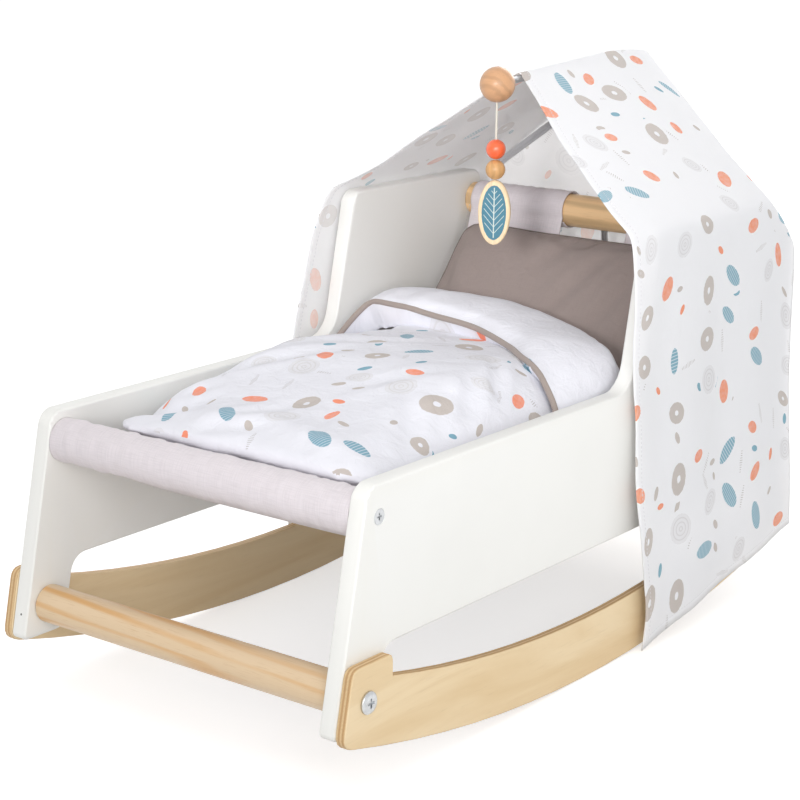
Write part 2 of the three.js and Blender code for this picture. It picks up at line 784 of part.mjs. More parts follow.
// The canopy's middle surface across the cradle, from the left hem over the ridge to the right
function canopyRow(along) {
  const [left, right] = sides;
  const half = (side) => {
    const points = [];
    for (let i = 0; i <= canopySlopeSteps; i += 1) {
      points.push(slopePoint(side, i / canopySlopeSteps, along));
    }
    for (let i = 0; i <= canopyHangSteps; i += 1) {
      points.push(hangPoint(side, i / canopyHangSteps, along));
    }
    return points;
  };
  const ridgeY = canopyReach(canopyFrontShares.right.slope[0][1], canopyRear, along);
  const ridge = new THREE.Vector3(0, ridgeY, ridgeUnderCloth(ridgeY) + ridgeWrap);
  return [...half(left).reverse(), ridge, ...half(right)];
}

// Canopy: roof and side hangs as one folded sheet, with the back wall sewn inside its rear edge
function canopy() {
  const grid = [];
  for (let j = 0; j <= canopyLengthSteps; j += 1) {
    grid.push(canopyRow(j / canopyLengthSteps));
  }
  const nearRear = 1 - (canopyRear - canopyWallReach) / (canopyRear - canopyEaveFront);
  const section = canopyRow(nearRear).filter((point) => point.z > canopyWallHem);
  const outline = new THREE.Shape([
    new THREE.Vector2(section[0].x, canopyWallHem),
    ...section.map((point) => new THREE.Vector2(point.x, point.z)),
    new THREE.Vector2(section.at(-1).x, canopyWallHem),
  ]);
  const wall = new THREE.ExtrudeGeometry(outline, { depth: canopyCloth, bevelEnabled: false })
    .rotateX(Math.PI / 2)
    .translate(0, canopyWallReach + canopyCloth / 2, 0);
  return join(thickSheet(grid, canopyCloth), wall);
}

// Duvet: tables of shares across its width, from -1 on the left to 1 on the right. Reaches
// are shares of the fold crest's reach, heights are shares of its height over the sling.
const flapEdgeReachShares = [
  [-1, 0.1], [-0.96, 0.3], [-0.91, 0.5], [-0.6, 0.45], [-0.34, 0.44], [0, 0.4],
  [0.34, 0.25], [0.6, 0.04], [0.81, -0.06], [1, -0.15],
];
const flapEdgeHeightShares = [
  [-1, 0.72], [-0.96, 0.86], [-0.91, 1], [-0.6, 1.02], [-0.34, 0.99], [0, 0.97],
  [0.34, 0.93], [0.6, 0.87], [0.81, 0.83], [1, 0.7],
];
const crestReachShares = [[-1, 0.97], [-0.43, 1.01], [0, 1], [0.51, 0.87], [0.9, 0.6], [1, 0.53]];
const crestHeightShares = [[-1, 1.02], [-0.43, 1.02], [0, 1], [0.51, 0.92], [0.9, 0.9], [1, 0.89]];
// Height of the duvet's middle from its foot end to the crest
const duvetTopShares = [
  [0, 0.72], [0.03, 0.745], [0.17, 0.755], [0.25, 0.8], [0.32, 0.843],
  [0.44, 0.912], [0.57, 0.9], [0.78, 0.83], [1, 0.8],
];
const duvetEndShare = 0.985;
const duvetStations = 22;
const duvetFootSteps = 4;
const duvetTopSteps = 9;
const duvetFlapSteps = 6;
const duvetUnderSteps = 12;
const duvetLiftAngle = THREE.MathUtils.degToRad(30);

// Lowest height at which bedding clears the front tunnel when it is drawn out at that angle
function tunnelClearance(y) {
  const reach = slingLoopRadius + slingCloth / 2 + fitGap;
  return footRailHeight - (y + footRailReach) * Math.tan(duvetLiftAngle) + reach / Math.cos(duvetLiftAngle);
}

// Closed section of the duvet at one share of its width, as [y, z] points
function duvetSection(share) {
  const height = (heightShare) => slingLowHeight + heightShare * (duvetCrestHeight - slingLowHeight);
  const crown = (1 - share ** 4) ** 0.32;
  const flapCrown = (1 - share ** 24) ** 0.3;
  const footY = -duvetFoot + duvetFootDrawIn * share ** 4;
  const tipZ = tunnelClearance(footY) + duvetFootRadius * Math.tan(duvetLiftAngle);
  const under = (y) => Math.max(slingTop(y) + fitGap, tunnelClearance(y)) + duvetSideLift * share ** 6;
  const middle = (y) => height(tableValue(duvetTopShares, (y + duvetFoot) / (duvetFoot + duvetCrestReach)));
  const over = (y) => under(y) + (middle(y) - under(y)) * crown;
  const footRound = (y) => {
    const inside = Math.min(1, (y - footY) / duvetFootRadius);
    return Math.sqrt(1 - (1 - inside) ** 2);
  };
  const flapY = duvetCrestReach * tableValue(flapEdgeReachShares, share);
  const crestY = duvetCrestReach * tableValue(crestReachShares, share);
  const raised = (y, heightShares) => {
    const base = under(y);
    return base + (height(tableValue(heightShares, share)) - base) * flapCrown;
  };
  const lipZ = Math.max(raised(flapY, flapEdgeHeightShares), over(flapY) + duvetLipHeight);
  const crestZ = raised(crestY - duvetRearRun, crestHeightShares);
  const rearY = crestY - duvetRearRun;
  const points = [[footY, tipZ]];
  for (let i = 1; i <= duvetFootSteps; i += 1) {
    const y = footY + duvetFootRadius * (1 - Math.cos((i / duvetFootSteps) * Math.PI / 2));
    points.push([y, THREE.MathUtils.lerp(tipZ, over(y), footRound(y))]);
  }
  for (let i = 1; i <= duvetTopSteps; i += 1) {
    const y = THREE.MathUtils.lerp(footY + duvetFootRadius, flapY, i / duvetTopSteps);
    points.push([y, over(y)]);
  }
  points.push([flapY - duvetLipBulge, (over(flapY) + lipZ) / 2]);
  for (let i = 0; i <= duvetFlapSteps; i += 1) {
    const run = i / duvetFlapSteps;
    const puff = duvetFlapPuff * Math.sin(Math.PI * run);
    points.push([THREE.MathUtils.lerp(flapY, crestY, run), THREE.MathUtils.lerp(lipZ, crestZ, run) + puff]);
  }
  points.push([crestY + duvetCrestRound / 4, crestZ - duvetCrestRound]);
  points.push([rearY + duvetCrestRound, under(rearY) + 2 * duvetCrestRound]);
  points.push([rearY, under(rearY) + duvetCrestRound / 2]);
  for (let i = 0; i < duvetUnderSteps; i += 1) {
    const y = THREE.MathUtils.lerp(rearY - duvetCrestRound, footY, i / duvetUnderSteps);
    points.push([y, THREE.MathUtils.lerp(tipZ, under(y), footRound(y))]);
  }
  return points;
}

// Duvet: sections across its width joined into one body, with flat ends beside the panels
function duvet() {
  const rings = [];
  for (let i = 0; i <= duvetStations; i += 1) {
    const share = Math.sin(Math.PI * (i / duvetStations - 0.5));
    const x = (duvetWidth / 2) * share;
    rings.push(duvetSection(share * duvetEndShare).map(([y, z]) => new THREE.Vector3(x, y, z)));
  }
  return lofted(rings);
}

// Closed body through rings of points that lie in planes across X
function lofted(rings) {
  const count = rings[0].length;
  const index = [];
  for (let i = 0; i < rings.length - 1; i += 1) {
    for (let j = 0; j < count; j += 1) {
      const next = (j + 1) % count;
      const [a, b] = [i * count + j, (i + 1) * count + j];
      const [c, d] = [(i + 1) * count + next, i * count + next];
      index.push(a, b, c, a, c, d);
    }
  }
  const last = (rings.length - 1) * count;
  const capOf = (ring) => THREE.ShapeUtils.triangulateShape(
    ring.map((point) => new THREE.Vector2(point.y, point.z)),
    [],
  );
  capOf(rings[0]).forEach(([a, b, c]) => index.push(c, b, a));
  capOf(rings.at(-1)).forEach((corners) => index.push(...corners.map((corner) => last + corner)));
  const geometry = new THREE.BufferGeometry();
  geometry.setAttribute('position', new THREE.Float32BufferAttribute(
    rings.flat().flatMap((point) => [point.x, point.y, point.z]),
    3,
  ));
  geometry.setIndex(index);
  return geometry;
}

// Place and lean of the pillow, whose underside bears on the sling's rising end
function pillowRest() {
  const bedRise = slingTop(pillowReach + pillowBearing) - slingTop(pillowReach - pillowBearing);
  const lean = Math.atan2(bedRise, 2 * pillowBearing) + pillowTip;
  const height = slingTop(pillowReach) + pillowStandOff / Math.cos(lean);
  return { lean, centre: [0, pillowReach, height] };
}

// Cushion with a crown and drawn-in sides, flat on the XY plane, closed by one seam all round
function cushion(width, length, thickness) {
  const [columns, rows] = [cushionColumns, cushionRows];
  const positions = [];
  const index = [];
  const spread = (step, steps) => Math.sin(Math.PI * (step / steps - 0.5));
  for (const side of [1, -1]) {
    for (let j = 0; j <= rows; j += 1) {
      for (let i = 0; i <= columns; i += 1) {
        const u = spread(i, columns);
        const v = spread(j, rows);
        const corner = cushionCornerDraw * (u * v) ** 4;
        const x = (width / 2) * u * (1 - cushionDrawInShare * (1 - v ** 2)) - corner * Math.sign(u);
        const y = (length / 2) * v * (1 - cushionDrawInShare * (1 - u ** 2)) - corner * Math.sign(v);
        const swell = Math.sqrt((1 - Math.abs(u) ** 3) * (1 - Math.abs(v) ** 3));
        positions.push(x, y, (side * thickness / 2) * swell);
      }
    }
  }
  const below = (columns + 1) * (rows + 1);
  const triangle = (a, b, c) => {
    index.push(a, b, c);
    index.push(below + a, below + c, below + b);
  };
  for (let j = 0; j < rows; j += 1) {
    for (let i = 0; i < columns; i += 1) {
      const a = j * (columns + 1) + i;
      const [b, d] = [a + 1, a + columns + 1];
      const c = d + 1;
      const towardsCorner = (2 * i < columns) === (2 * j < rows);
      if (towardsCorner) {
        triangle(a, b, c);
        triangle(a, c, d);
      } else {
        triangle(a, b, d);
        triangle(b, c, d);
      }
    }
  }
  const geometry = new THREE.BufferGeometry();
  geometry.setAttribute('position', new THREE.Float32BufferAttribute(positions, 3));
  geometry.setIndex(index);
  return mergeVertices(geometry);
}

// Assembly
const cradle = new THREE.Group();

function place(name, geometry, material, [x, y, z] = [0, 0, 0], [turnX, turnY, turnZ] = [0, 0, 0]) {
  const mesh = new THREE.Mesh(geometry, material);
  mesh.name = name;
  mesh.position.set(x, y, z);
  mesh.rotation.set(turnX, turnY, turnZ);
  cradle.add(mesh);
}

const boltSeat = rockerOuter + fitGap;
const screwTop = panelOuter - screwSink;
const dowelEnd = panelInner - fitGap;
const boltBoreDepth = dowelEnd - (boltSeat - boltLength) + fitGap;
const screwBoreDepth = dowelEnd - (screwTop - screwLength) + fitGap;

for (const { name, sign } of sides) {
  const outward = [0, sign * Math.PI / 2, 0];
  const rockerMiddle = sign * (rockerInner + rockerOuter) / 2;
  const panelMiddle = sign * (panelInner + panelOuter) / 2;
  place(`${name}_side_panel`, sidePanel(sign), materials.lacquer, [panelMiddle, 0, 0]);
  place(`${name}_rocker`, rocker(), materials.birch, [rockerMiddle, 0, 0]);
  for (const { name: end, y, z } of lowerDowels) {
    place(`${name}_${end}_rocker_bolt`, bolt(), materials.zinc, [sign * boltSeat, y, z], outward);
  }
  for (const { name: end, y, z } of upperRails) {
    place(`${name}_${end}_rail_screw`, screw(), materials.zinc, [sign * screwTop, y, z], outward);
  }
}

const [frontDowel, rearDowel] = lowerDowels;
const [frontRail, rearRail] = upperRails;
const plainLower = dowel(boltShankRadius + fitGap, boltBoreDepth);
const plainUpper = dowel(screwShankRadius + fitGap, screwBoreDepth);
place('front_lower_dowel', plainLower, materials.pine, [0, frontDowel.y, frontDowel.z]);
place('rear_lower_dowel', cut(plainLower, poleHoleCutter(poleFootDepth + fitGap)), materials.pine,
  [0, rearDowel.y, rearDowel.z]);
place('front_upper_rail', plainUpper, materials.pine, [0, frontRail.y, frontRail.z]);
place('rear_upper_rail', cut(plainUpper, poleHoleCutter(dowelDiameter)), materials.pine,
  [0, rearRail.y, rearRail.z]);
place('sling', sling(), materials.cloth);

place('canopy_pole', canopyPole(), materials.steel);
place('pole_ball', poleBall(), materials.beech, ballCentre.toArray());
place('canopy', canopy(), materials.print);

const stringTop = ballHeight - ballRadius - stringSwingGap;
const stringStart = stringTop - stringNeck - fitGap;
const upperBead = ballHeight - ballRadius - stringFreeLength - beadRadius;
const lowerBead = upperBead - 2 * beadRadius - fitGap;
const pendantCentre = lowerBead - beadRadius - fitGap - pendantHeight / 2;
const stringEnd = pendantCentre + pendantHeight / 2 - pendantBoreDepth + fitGap;
place('mobile_string_neck', stringStretch(stringNeck), materials.cord, [0, ballReach, stringTop]);
place('mobile_string', stringStretch(stringStart - stringEnd), materials.cord, [0, ballReach, stringStart]);
place('orange_bead', bead(), materials.orange, [0, ballReach, upperBead]);
place('natural_bead', bead(), materials.beech, [0, ballReach, lowerBead]);
place('leaf_pendant', leafPendant(), materials.leaf, [0, ballReach, pendantCentre], [0, 0, pendantTurn]);

place('duvet', duvet(), materials.print);
const { lean: pillowLean, centre: pillowCentre } = pillowRest();
place('pillow', cushion(pillowWidth, pillowLength, pillowThickness), materials.taupe,
  pillowCentre, [pillowLean, 0, 0]);

export default cradle;
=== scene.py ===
"""Doll cradle: finishes, cloth, bedding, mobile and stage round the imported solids."""

import json
import math

import bmesh
import bpy
import numpy as np
from bpy.props import FloatProperty, FloatVectorProperty, IntProperty, PointerProperty
from mathutils import Matrix, Vector, noise
from mathutils.bvhtree import BVHTree

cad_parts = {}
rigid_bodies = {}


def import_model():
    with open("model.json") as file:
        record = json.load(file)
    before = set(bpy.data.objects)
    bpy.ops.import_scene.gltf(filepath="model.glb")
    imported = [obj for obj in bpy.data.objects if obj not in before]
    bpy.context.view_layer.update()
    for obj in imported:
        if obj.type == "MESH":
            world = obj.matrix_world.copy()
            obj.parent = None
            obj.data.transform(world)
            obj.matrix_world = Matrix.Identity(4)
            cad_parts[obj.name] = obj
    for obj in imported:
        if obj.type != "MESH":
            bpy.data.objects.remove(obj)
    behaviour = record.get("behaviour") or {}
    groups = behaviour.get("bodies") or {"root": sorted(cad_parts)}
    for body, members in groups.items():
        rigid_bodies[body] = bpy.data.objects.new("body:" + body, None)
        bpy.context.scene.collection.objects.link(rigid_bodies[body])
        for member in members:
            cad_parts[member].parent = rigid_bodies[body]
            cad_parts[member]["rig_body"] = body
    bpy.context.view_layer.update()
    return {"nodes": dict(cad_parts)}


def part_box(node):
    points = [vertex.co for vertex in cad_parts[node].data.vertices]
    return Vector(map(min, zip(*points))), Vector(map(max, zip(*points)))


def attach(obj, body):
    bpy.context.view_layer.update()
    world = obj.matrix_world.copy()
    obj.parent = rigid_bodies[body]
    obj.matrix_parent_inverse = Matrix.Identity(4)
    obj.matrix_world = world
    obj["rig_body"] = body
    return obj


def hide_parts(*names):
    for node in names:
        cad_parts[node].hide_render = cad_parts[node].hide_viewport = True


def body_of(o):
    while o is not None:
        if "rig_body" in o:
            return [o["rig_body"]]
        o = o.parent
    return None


bl_info = {
    "name": "Doll Cradle",
    "version": (1, 0, 0),
    "blender": (4, 5, 0),
    "location": "View3D > Sidebar > Doll Cradle",
    "description": "Dresses a rocking doll cradle with its wood, cloth, bedding and mobile",
    "category": "Add Mesh",
}

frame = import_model()

MM = 0.001

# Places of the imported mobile, in metres
MOBILE_Y = 0.0734
BALL_HEIGHT, NATURAL_BEAD_HEIGHT = 0.3772, 0.3178
STRING_TOP, STRING_END = 0.3647, 0.3048

# Marks in the finishes, in metres: the pin in the left leg's edge, the rockers' plies, the pendant's leaf
PIN_X, PIN_Z, PIN_RADIUS, PIN_BEFORE_Y = -0.1270, 0.0548, 0.0007, -0.25
ROCKER_INNER_FACE, PLY = 0.1343, 0.0014
LEAF_HALF_WIDTH, LEAF_HALF_HEIGHT = 0.0087, 0.0193
MIDRIB_HALF_LENGTH, VEIN_PITCH, LOWEST_VEIN = 0.0178, 0.0047, 0.0172

# Camera fitted to the boards' edges: place in metres, angles in radians, focal length in pixels
CAMERA_PLACE = (0.8297, -1.1315, 0.5304)
CAMERA_YAW, CAMERA_PITCH, CAMERA_ROLL = 0.6473, 0.2547, 0.0134
LENS_PIXELS, FRAME_PIXELS = 2092.9, 800


# Settings

def linear(red, green, blue):
    """A colour given as 0 to 255 display values, as the linear values that shaders take."""
    def channel(value):
        share = value / 255
        return share / 12.92 if share <= 0.04045 else ((share + 0.055) / 1.055) ** 2.4

    return (channel(red), channel(green), channel(blue))


def colour(name, description, display):
    return FloatVectorProperty(
        name=name, description=description, subtype="COLOR", size=3,
        min=0.0, max=1.0, default=linear(*display),
    )


def size(name, description, millimetres):
    return FloatProperty(
        name=name, description=description, subtype="DISTANCE", unit="LENGTH",
        min=0.0, precision=5, default=millimetres * MM,
    )


def power(name, description, watts):
    return FloatProperty(name=name, description=description, unit="POWER", min=0.0, default=watts)


class CradleWood(bpy.types.PropertyGroup):
    """Colours of the wood and metal"""

    lacquer: colour("Panel lacquer", "White lacquer on the side panels", (245, 245, 242))
    birch: colour("Birch face", "Face veneer of the rockers", (240, 217, 178))
    birch_line: colour("Birch glue lines", "Dark plies at the rockers' edges", (198, 158, 112))
    pine: colour("Pine", "Light wood of the dowels", (228, 201, 165))
    # Upper rails: the pine made warmer as painted warm shade and reflected light from under the canopy, not a
    # wood of their own
    rail: colour("Upper rails", "Warmer wood of the two upper rails", (243, 204, 154))
    pine_streak: colour("Pine streaks", "Darker growth lines of the dowels", (220, 170, 108))
    beech: colour("Beech", "Turned ball", (212, 163, 122))
    bead_wood: colour("Natural bead", "Turned bead without paint", (214, 164, 108))
    bead_paint: colour("Orange bead", "Paint on the upper bead", (252, 104, 50))
    leaf_paint: colour("Leaf paint", "Paint on the pendant's face", (74, 128, 148))
    leaf_vein: colour("Leaf veins", "Bare lines in the pendant's paint", (214, 222, 214))
    disc_rim: colour("Pendant rim", "Bare wood round the pendant's paint", (244, 218, 180))
    zinc: colour("Zinc", "Bolts and screws", (206, 208, 210))
    steel: colour("Steel", "Canopy pole", (206, 207, 209))


class CradleCloth(bpy.types.PropertyGroup):
    """Colours and sizes of the cloth and its print"""

    white: colour("Canopy ground", "Ground of the canopy's printed cotton", (251, 251, 254))
    quilt: colour("Duvet ground", "Ground of the duvet's cotton", (239, 239, 246))
    inner: colour("Cloth reverse", "Reverse of the printed cotton", (250, 248, 249))
    sling: colour("Sling cloth", "Plain cotton of the bed", (242, 233, 237))
    orange: colour("Print orange", "Pebbles in the print", (250, 144, 104))
    blue: colour("Print blue", "Striped seeds in the print", (118, 168, 188))
    taupe: colour("Print taupe", "Rings and rows of bars in the print", (200, 190, 183))
    grey: colour("Print grey", "Faint discs in the print", (224, 222, 224))
    pillow: colour("Pillow", "Plain taupe cotton", (172, 157, 152))
    piping: colour("Piping", "Bias tape round the duvet", (170, 157, 150))
    overlock: colour("Overlock", "Seam thread inside the canopy", (226, 225, 228))
    thread: colour("Thread", "Sewing thread", (232, 230, 234))
    motif_pitch: size("Motif pitch", "Distance between large motifs", 40)
    weave_pitch: size("Weave pitch", "Distance between threads", 0.62)
    canopy_thickness: size("Canopy cloth", "Thickness of the canopy cloth", 0.8)
    sling_thickness: size("Sling cloth", "Thickness of the sling cloth", 0.9)
    hem_width: size("Hem width", "Width of the canopy's hems", 8)
    stitch_pitch: size("Stitch pitch", "Distance from stitch to stitch", 3)
    piping_diameter: size("Piping diameter", "Diameter of the duvet's piping", 4.2)


class CradleMobile(bpy.types.PropertyGroup):
    """Sizes of the hanging mobile"""

    string: colour("String", "Twisted cotton string", (238, 232, 220))
    string_diameter: size("String diameter", "Diameter of the mobile's string", 1.6)
    string_points: IntProperty(
        name="String points", description="Points along the string", default=18, min=4, max=40,
    )


class CradleStage(bpy.types.PropertyGroup):
    """Lamps and floor"""

    floor: colour("Floor", "Plain pale floor", (250, 250, 250))
    key_power: power("Main lamp", "Power of the main soft lamp", 4.5)
    side_power: power("Side lamp", "Power of the soft lamp on the left", 4.0)
    front_power: power("Front lamp", "Power of the low lamp before the canopy's mouth", 25.0)
    back_power: power("Back lamp", "Power of the soft lamp behind", 26.0)
    mouth_power: power("Canopy lamp", "Power of the spot that reaches in under the canopy", 112.0)
    sky: FloatProperty(
        name="Sky light", description="Strength of the even light all round", default=0.68, min=0,
    )


# Finishes

class Value:
    """One output of a node that can be reckoned with like a number."""

    def __init__(self, made, socket):
        self.made, self.socket = made, socket

    def __add__(self, other):
        return self.made.maths("ADD", self, other)

    def __sub__(self, other):
        return self.made.maths("SUBTRACT", self, other)

    def __rsub__(self, other):
        return self.made.maths("SUBTRACT", other, self)

    def __mul__(self, other):
        return self.made.maths("MULTIPLY", self, other)

    def __truediv__(self, other):
        return self.made.maths("DIVIDE", self, other)

    def __pow__(self, other):
        return self.made.maths("POWER", self, other)

    def __lt__(self, other):
        return self.made.maths("LESS_THAN", self, other)

    def __gt__(self, other):
        return self.made.maths("GREATER_THAN", self, other)

    def __abs__(self):
        return self.made.maths("ABSOLUTE", self)

    def sine(self):
        return self.made.maths("SINE", self)

    def in_bar(self):
        """How far the value is from the middle of its whole step, 0 to 0.5."""
        return abs(self.made.maths("FRACT", self) - 0.5)


class Nodes:
    """A node tree under construction."""

    def __init__(self, tree):
        self.tree = tree
        tree.nodes.clear()

    def add(self, kind, **settings):
        node = self.tree.nodes.new(kind)
        for name, value in settings.items():
            setattr(node, name, value)
        return node

    def put(self, socket, value):
        """Links a value to a socket, or sets the socket where the value is a plain one."""
        if isinstance(value, Value):
            self.tree.links.new(value.socket, socket)
        elif hasattr(value, "__len__") and len(value) == 3 and socket.type == "RGBA":
            socket.default_value = (*value, 1)
        else:
            socket.default_value = value

    def node(self, kind, inputs=(), output=0, **settings):
        """Adds a node, fills its inputs by number or name, and gives one of its outputs or several."""
        node = self.add(kind, **settings)
        for key, value in (inputs.items() if isinstance(inputs, dict) else enumerate(inputs)):
            self.put(node.inputs[key], value)
        if isinstance(output, tuple):
            return [Value(self, node.outputs[key]) for key in output]
        return Value(self, node.outputs[output])

    def maths(self, operation, *values):
        return self.node("ShaderNodeMath", values, operation=operation)


class Finish(Nodes):
    """A material under construction: a shader and the nodes that feed it."""

    def __init__(self, name, **constants):
        self.material = bpy.data.materials.new(name)
        self.material.use_nodes = True
        super().__init__(self.material.node_tree)
        self.shader = self.add("ShaderNodeBsdfPrincipled")
        self.put(self.add("ShaderNodeOutputMaterial").inputs["Surface"], Value(self, self.shader.outputs[0]))
        for socket, value in constants.items():
            self.shader.inputs[socket.replace("_", " ")].default_value = value

    def mixed(self, share, below, above):
        return self.node("ShaderNodeMix", {0: share, 6: below, 7: above}, 2, data_type="RGBA")

    def ranged(self, value, low, high, to_low=0.0, to_high=1.0, smooth=False):
        kind = "SMOOTHSTEP" if smooth else "LINEAR"
        return self.node("ShaderNodeMapRange", (value, low, high, to_low, to_high), interpolation_type=kind)

    def object_place(self, location=(0, 0, 0), rotation=(0, 0, 0), scale=(1, 1, 1)):
        """Object coordinates, centred, turned and stretched for a pattern."""
        source = self.node("ShaderNodeTexCoord", (), "Object")
        inputs = {"Vector": source, "Location": location, "Rotation": rotation}
        return self.stretched(self.node("ShaderNodeMapping", inputs, vector_type="TEXTURE"), scale)

    def stretched(self, vector, scale):
        return self.node("ShaderNodeVectorMath", (vector, scale), operation="MULTIPLY")

    def cloth_place(self):
        """Place on the flat cloth, in metres, from the piece's own UV map."""
        return self.node("ShaderNodeUVMap", uv_map="cloth")

    def parts(self, vector):
        return self.node("ShaderNodeSeparateXYZ", (vector,), (0, 1, 2))

    def grain(self, vector, scale, detail=2.0, rough=0.5, distortion=0.0):
        return self.node("ShaderNodeTexNoise", {
            "Vector": vector, "Scale": scale, "Detail": detail, "Roughness": rough, "Distortion": distortion,
        })

    def relief(self, height, depth, strength=1.0, under=None):
        inputs = {"Strength": strength, "Distance": depth, "Height": height}
        if under is not None:
            inputs["Normal"] = under
        return self.node("ShaderNodeBump", inputs)

    def finish(self, base, roughness, normal):
        for socket, value in (("Base Color", base), ("Roughness", roughness), ("Normal", normal)):
            self.put(self.shader.inputs[socket], value)
        return self.material


def dimmed(tone, *shares):
    """A colour taken down by one share, or by one for each channel."""
    return [value * share for value, share in zip(tone, shares if len(shares) == 3 else shares * 3)]


def lacquer_finish(wood):
    """White lacquer rolled on board: fine orange peel, a little dust, rubbed corners and one dark pin."""
    made = Finish("white_lacquer", IOR=1.5, Specular_IOR_Level=0.4)
    place = made.object_place()
    tone = made.grain(place, 9, 3.0)
    shade = made.mixed(made.ranged(tone, 0.35, 0.7), wood.lacquer, dimmed(wood.lacquer, 0.965))
    rubbed = made.ranged(made.node("ShaderNodeNewGeometry", (), "Pointiness"), 0.52, 0.6, 0.0, 0.35)
    shade = made.mixed(rubbed, shade, dimmed(wood.lacquer, 0.96, 0.945, 0.9))
    across, along, up = made.parts(place)
    pin = (across - PIN_X) ** 2.0 + (up - PIN_Z) ** 2.0
    shade = made.mixed((pin < PIN_RADIUS ** 2) * (along < PIN_BEFORE_Y), shade, (0.05, 0.05, 0.05))
    dull = made.ranged(made.grain(place, 60, 4.0), 0.3, 0.7, 0.34, 0.46)
    return made.finish(shade, dull, made.relief(made.grain(place, 1400, 2.0, 0.6), 0.00006, 0.5))


def plywood_finish(wood):
    """Birch plywood: rotary-cut face figure, and its plies in stripes along the sawn edges."""
    made = Finish("birch_ply", IOR=1.5, Specular_IOR_Level=0.35)
    place = made.object_place()
    figure = made.grain(made.object_place(scale=(20, 3.2, 26)), 1.0, 4.0, 0.55, 1.4)
    pores = made.grain(made.object_place(scale=(300, 60, 900)), 1.0, 2.0)
    dark = dimmed(wood.birch, 0.83, 0.74, 0.6)
    face = made.mixed(made.ranged(figure, 0.42, 0.68, 0, 0.55), wood.birch, dark)
    face = made.mixed(made.ranged(pores, 0.6, 0.8, 0, 0.16), face, dimmed(dark, 0.7))
    depth = (abs(made.parts(place)[0]) - ROCKER_INNER_FACE) * (1 / PLY)
    wobble = made.grain(place, 70, 2.0) * 0.16
    stripe = made.ranged(((depth + wobble) * 0.5).in_bar(), 0.2, 0.3, 0, 1, True)
    fibre = made.grain(made.object_place(scale=(1600, 120, 900)), 1.0, 3.0)
    edge = made.mixed(stripe, dimmed(wood.birch, 0.86, 0.78, 0.66), wood.birch_line)
    edge = made.mixed(made.ranged(fibre, 0.45, 0.8, 0, 0.35), edge, dimmed(wood.birch_line, 0.6))
    sideways = made.parts(made.node("ShaderNodeNewGeometry", (), "Normal"))[0]
    on_edge = made.ranged(abs(sideways), 0.5, 0.62, 1.0, 0.0)
    dull = made.ranged(figure, 0.3, 0.7, 0.4, 0.55)
    height = pores * 0.6 + fibre * on_edge
    return made.finish(made.mixed(on_edge, face, edge), dull, made.relief(height, 0.00008, 0.5))


def turned_wood_finish(name, light, dark, rings, centre=(0, 0, 0), length_axis="X", gloss=0.42):
    """Clear-lacquered turned wood: growth lines along its length, and short pores."""
    made = Finish(name, IOR=1.5, Specular_IOR_Level=0.45, Coat_Weight=0.15, Coat_Roughness=0.2)
    along, fine = {
        "X": ((1, 14, 14), (80, 1500, 1500)), "Z": ((14, 14, 1), (1500, 1500, 80)),
    }[length_axis]
    place = made.object_place(location=centre, scale=along)
    warp = made.grain(place, 4, 2.0)
    bands = made.node("ShaderNodeTexWave", {
        "Vector": place, "Scale": rings, "Distortion": 5.0, "Detail": 3.0, "Detail Scale": 1.4,
    }, 1, wave_type="BANDS", bands_direction="DIAGONAL")
    shade = made.mixed(made.ranged(bands * warp, 0.15, 0.62, 0, 1, True), light, dark)
    pores = made.grain(made.object_place(location=centre, scale=fine), 1.0, 2.0)
    shade = made.mixed(made.ranged(pores, 0.56, 0.75, 0, 0.3), shade, dimmed(dark, 0.72))
    dull = made.ranged(warp, 0.3, 0.7, gloss - 0.05, gloss + 0.08)
    return made.finish(shade, dull, made.relief(pores, 0.00005, 0.35))


def bead_paint_finish(wood):
    """Satin paint on a turned bead, a little worn and ringed by the turning."""
    made = Finish("orange_bead_paint", IOR=1.5, Coat_Weight=0.7, Coat_Roughness=0.08)
    tone = made.grain(made.object_place(), 160, 3.0)
    shade = made.mixed(made.ranged(tone, 0.35, 0.7), wood.bead_paint, dimmed(wood.bead_paint, 0.82))
    turning = made.grain(made.object_place(scale=(120, 120, 2600)), 1.0, 2.0)
    return made.finish(shade, made.ranged(tone, 0.3, 0.7, 0.28, 0.4), made.relief(turning, 0.00004, 0.4))


def pendant_finish(wood, centre, turn):
    """Oval disc: bare rim and edge, painted face with a midrib and pairs of straight veins."""
    made = Finish("leaf_pendant_paint", IOR=1.5, Specular_IOR_Level=0.4)
    place = made.object_place(location=centre, rotation=(0, 0, turn))
    across, depth, up = made.parts(place)
    grain = made.grain(made.object_place(scale=(900, 900, 90)), 1.0, 3.0)
    bare = made.mixed(made.ranged(grain, 0.35, 0.75), wood.disc_rim, dimmed(wood.disc_rim, 0.8))
    reach = oval(made, across, along=up, half_width=LEAF_HALF_WIDTH, half_length=LEAF_HALF_HEIGHT)
    ragged = (made.grain(place, 700) - 0.5) * 0.05
    painted = made.ranged(reach + ragged, 0.985, 1.02, 1, 0, True)
    away = abs(across)
    midrib = made.ranged(away, 0.00026, 0.00048, 1, 0, True) * (abs(up) < MIDRIB_HALF_LENGTH)
    climb = (up - away * 1.15 + LOWEST_VEIN) / VEIN_PITCH
    vein = made.ranged(climb.in_bar(), 0.045, 0.085, 1, 0, True) * (reach < 0.84)
    worn = made.ranged(made.grain(place, 500, 3.0), 0.3, 0.75, 0, 0.5)
    coat = made.mixed(worn, wood.leaf_paint, dimmed(wood.leaf_paint, 0.8))
    coat = made.mixed(made.maths("MAXIMUM", midrib, vein) * 0.9, coat, wood.leaf_vein)
    on_face = made.ranged(abs(depth), 0.0020, 0.0021, 0, 1)
    shade = made.mixed(painted * on_face, bare, coat)
    dull = made.ranged(grain, 0.3, 0.7, 0.42, 0.55)
    return made.finish(shade, dull, made.relief(painted + grain, 0.00006, 0.5))


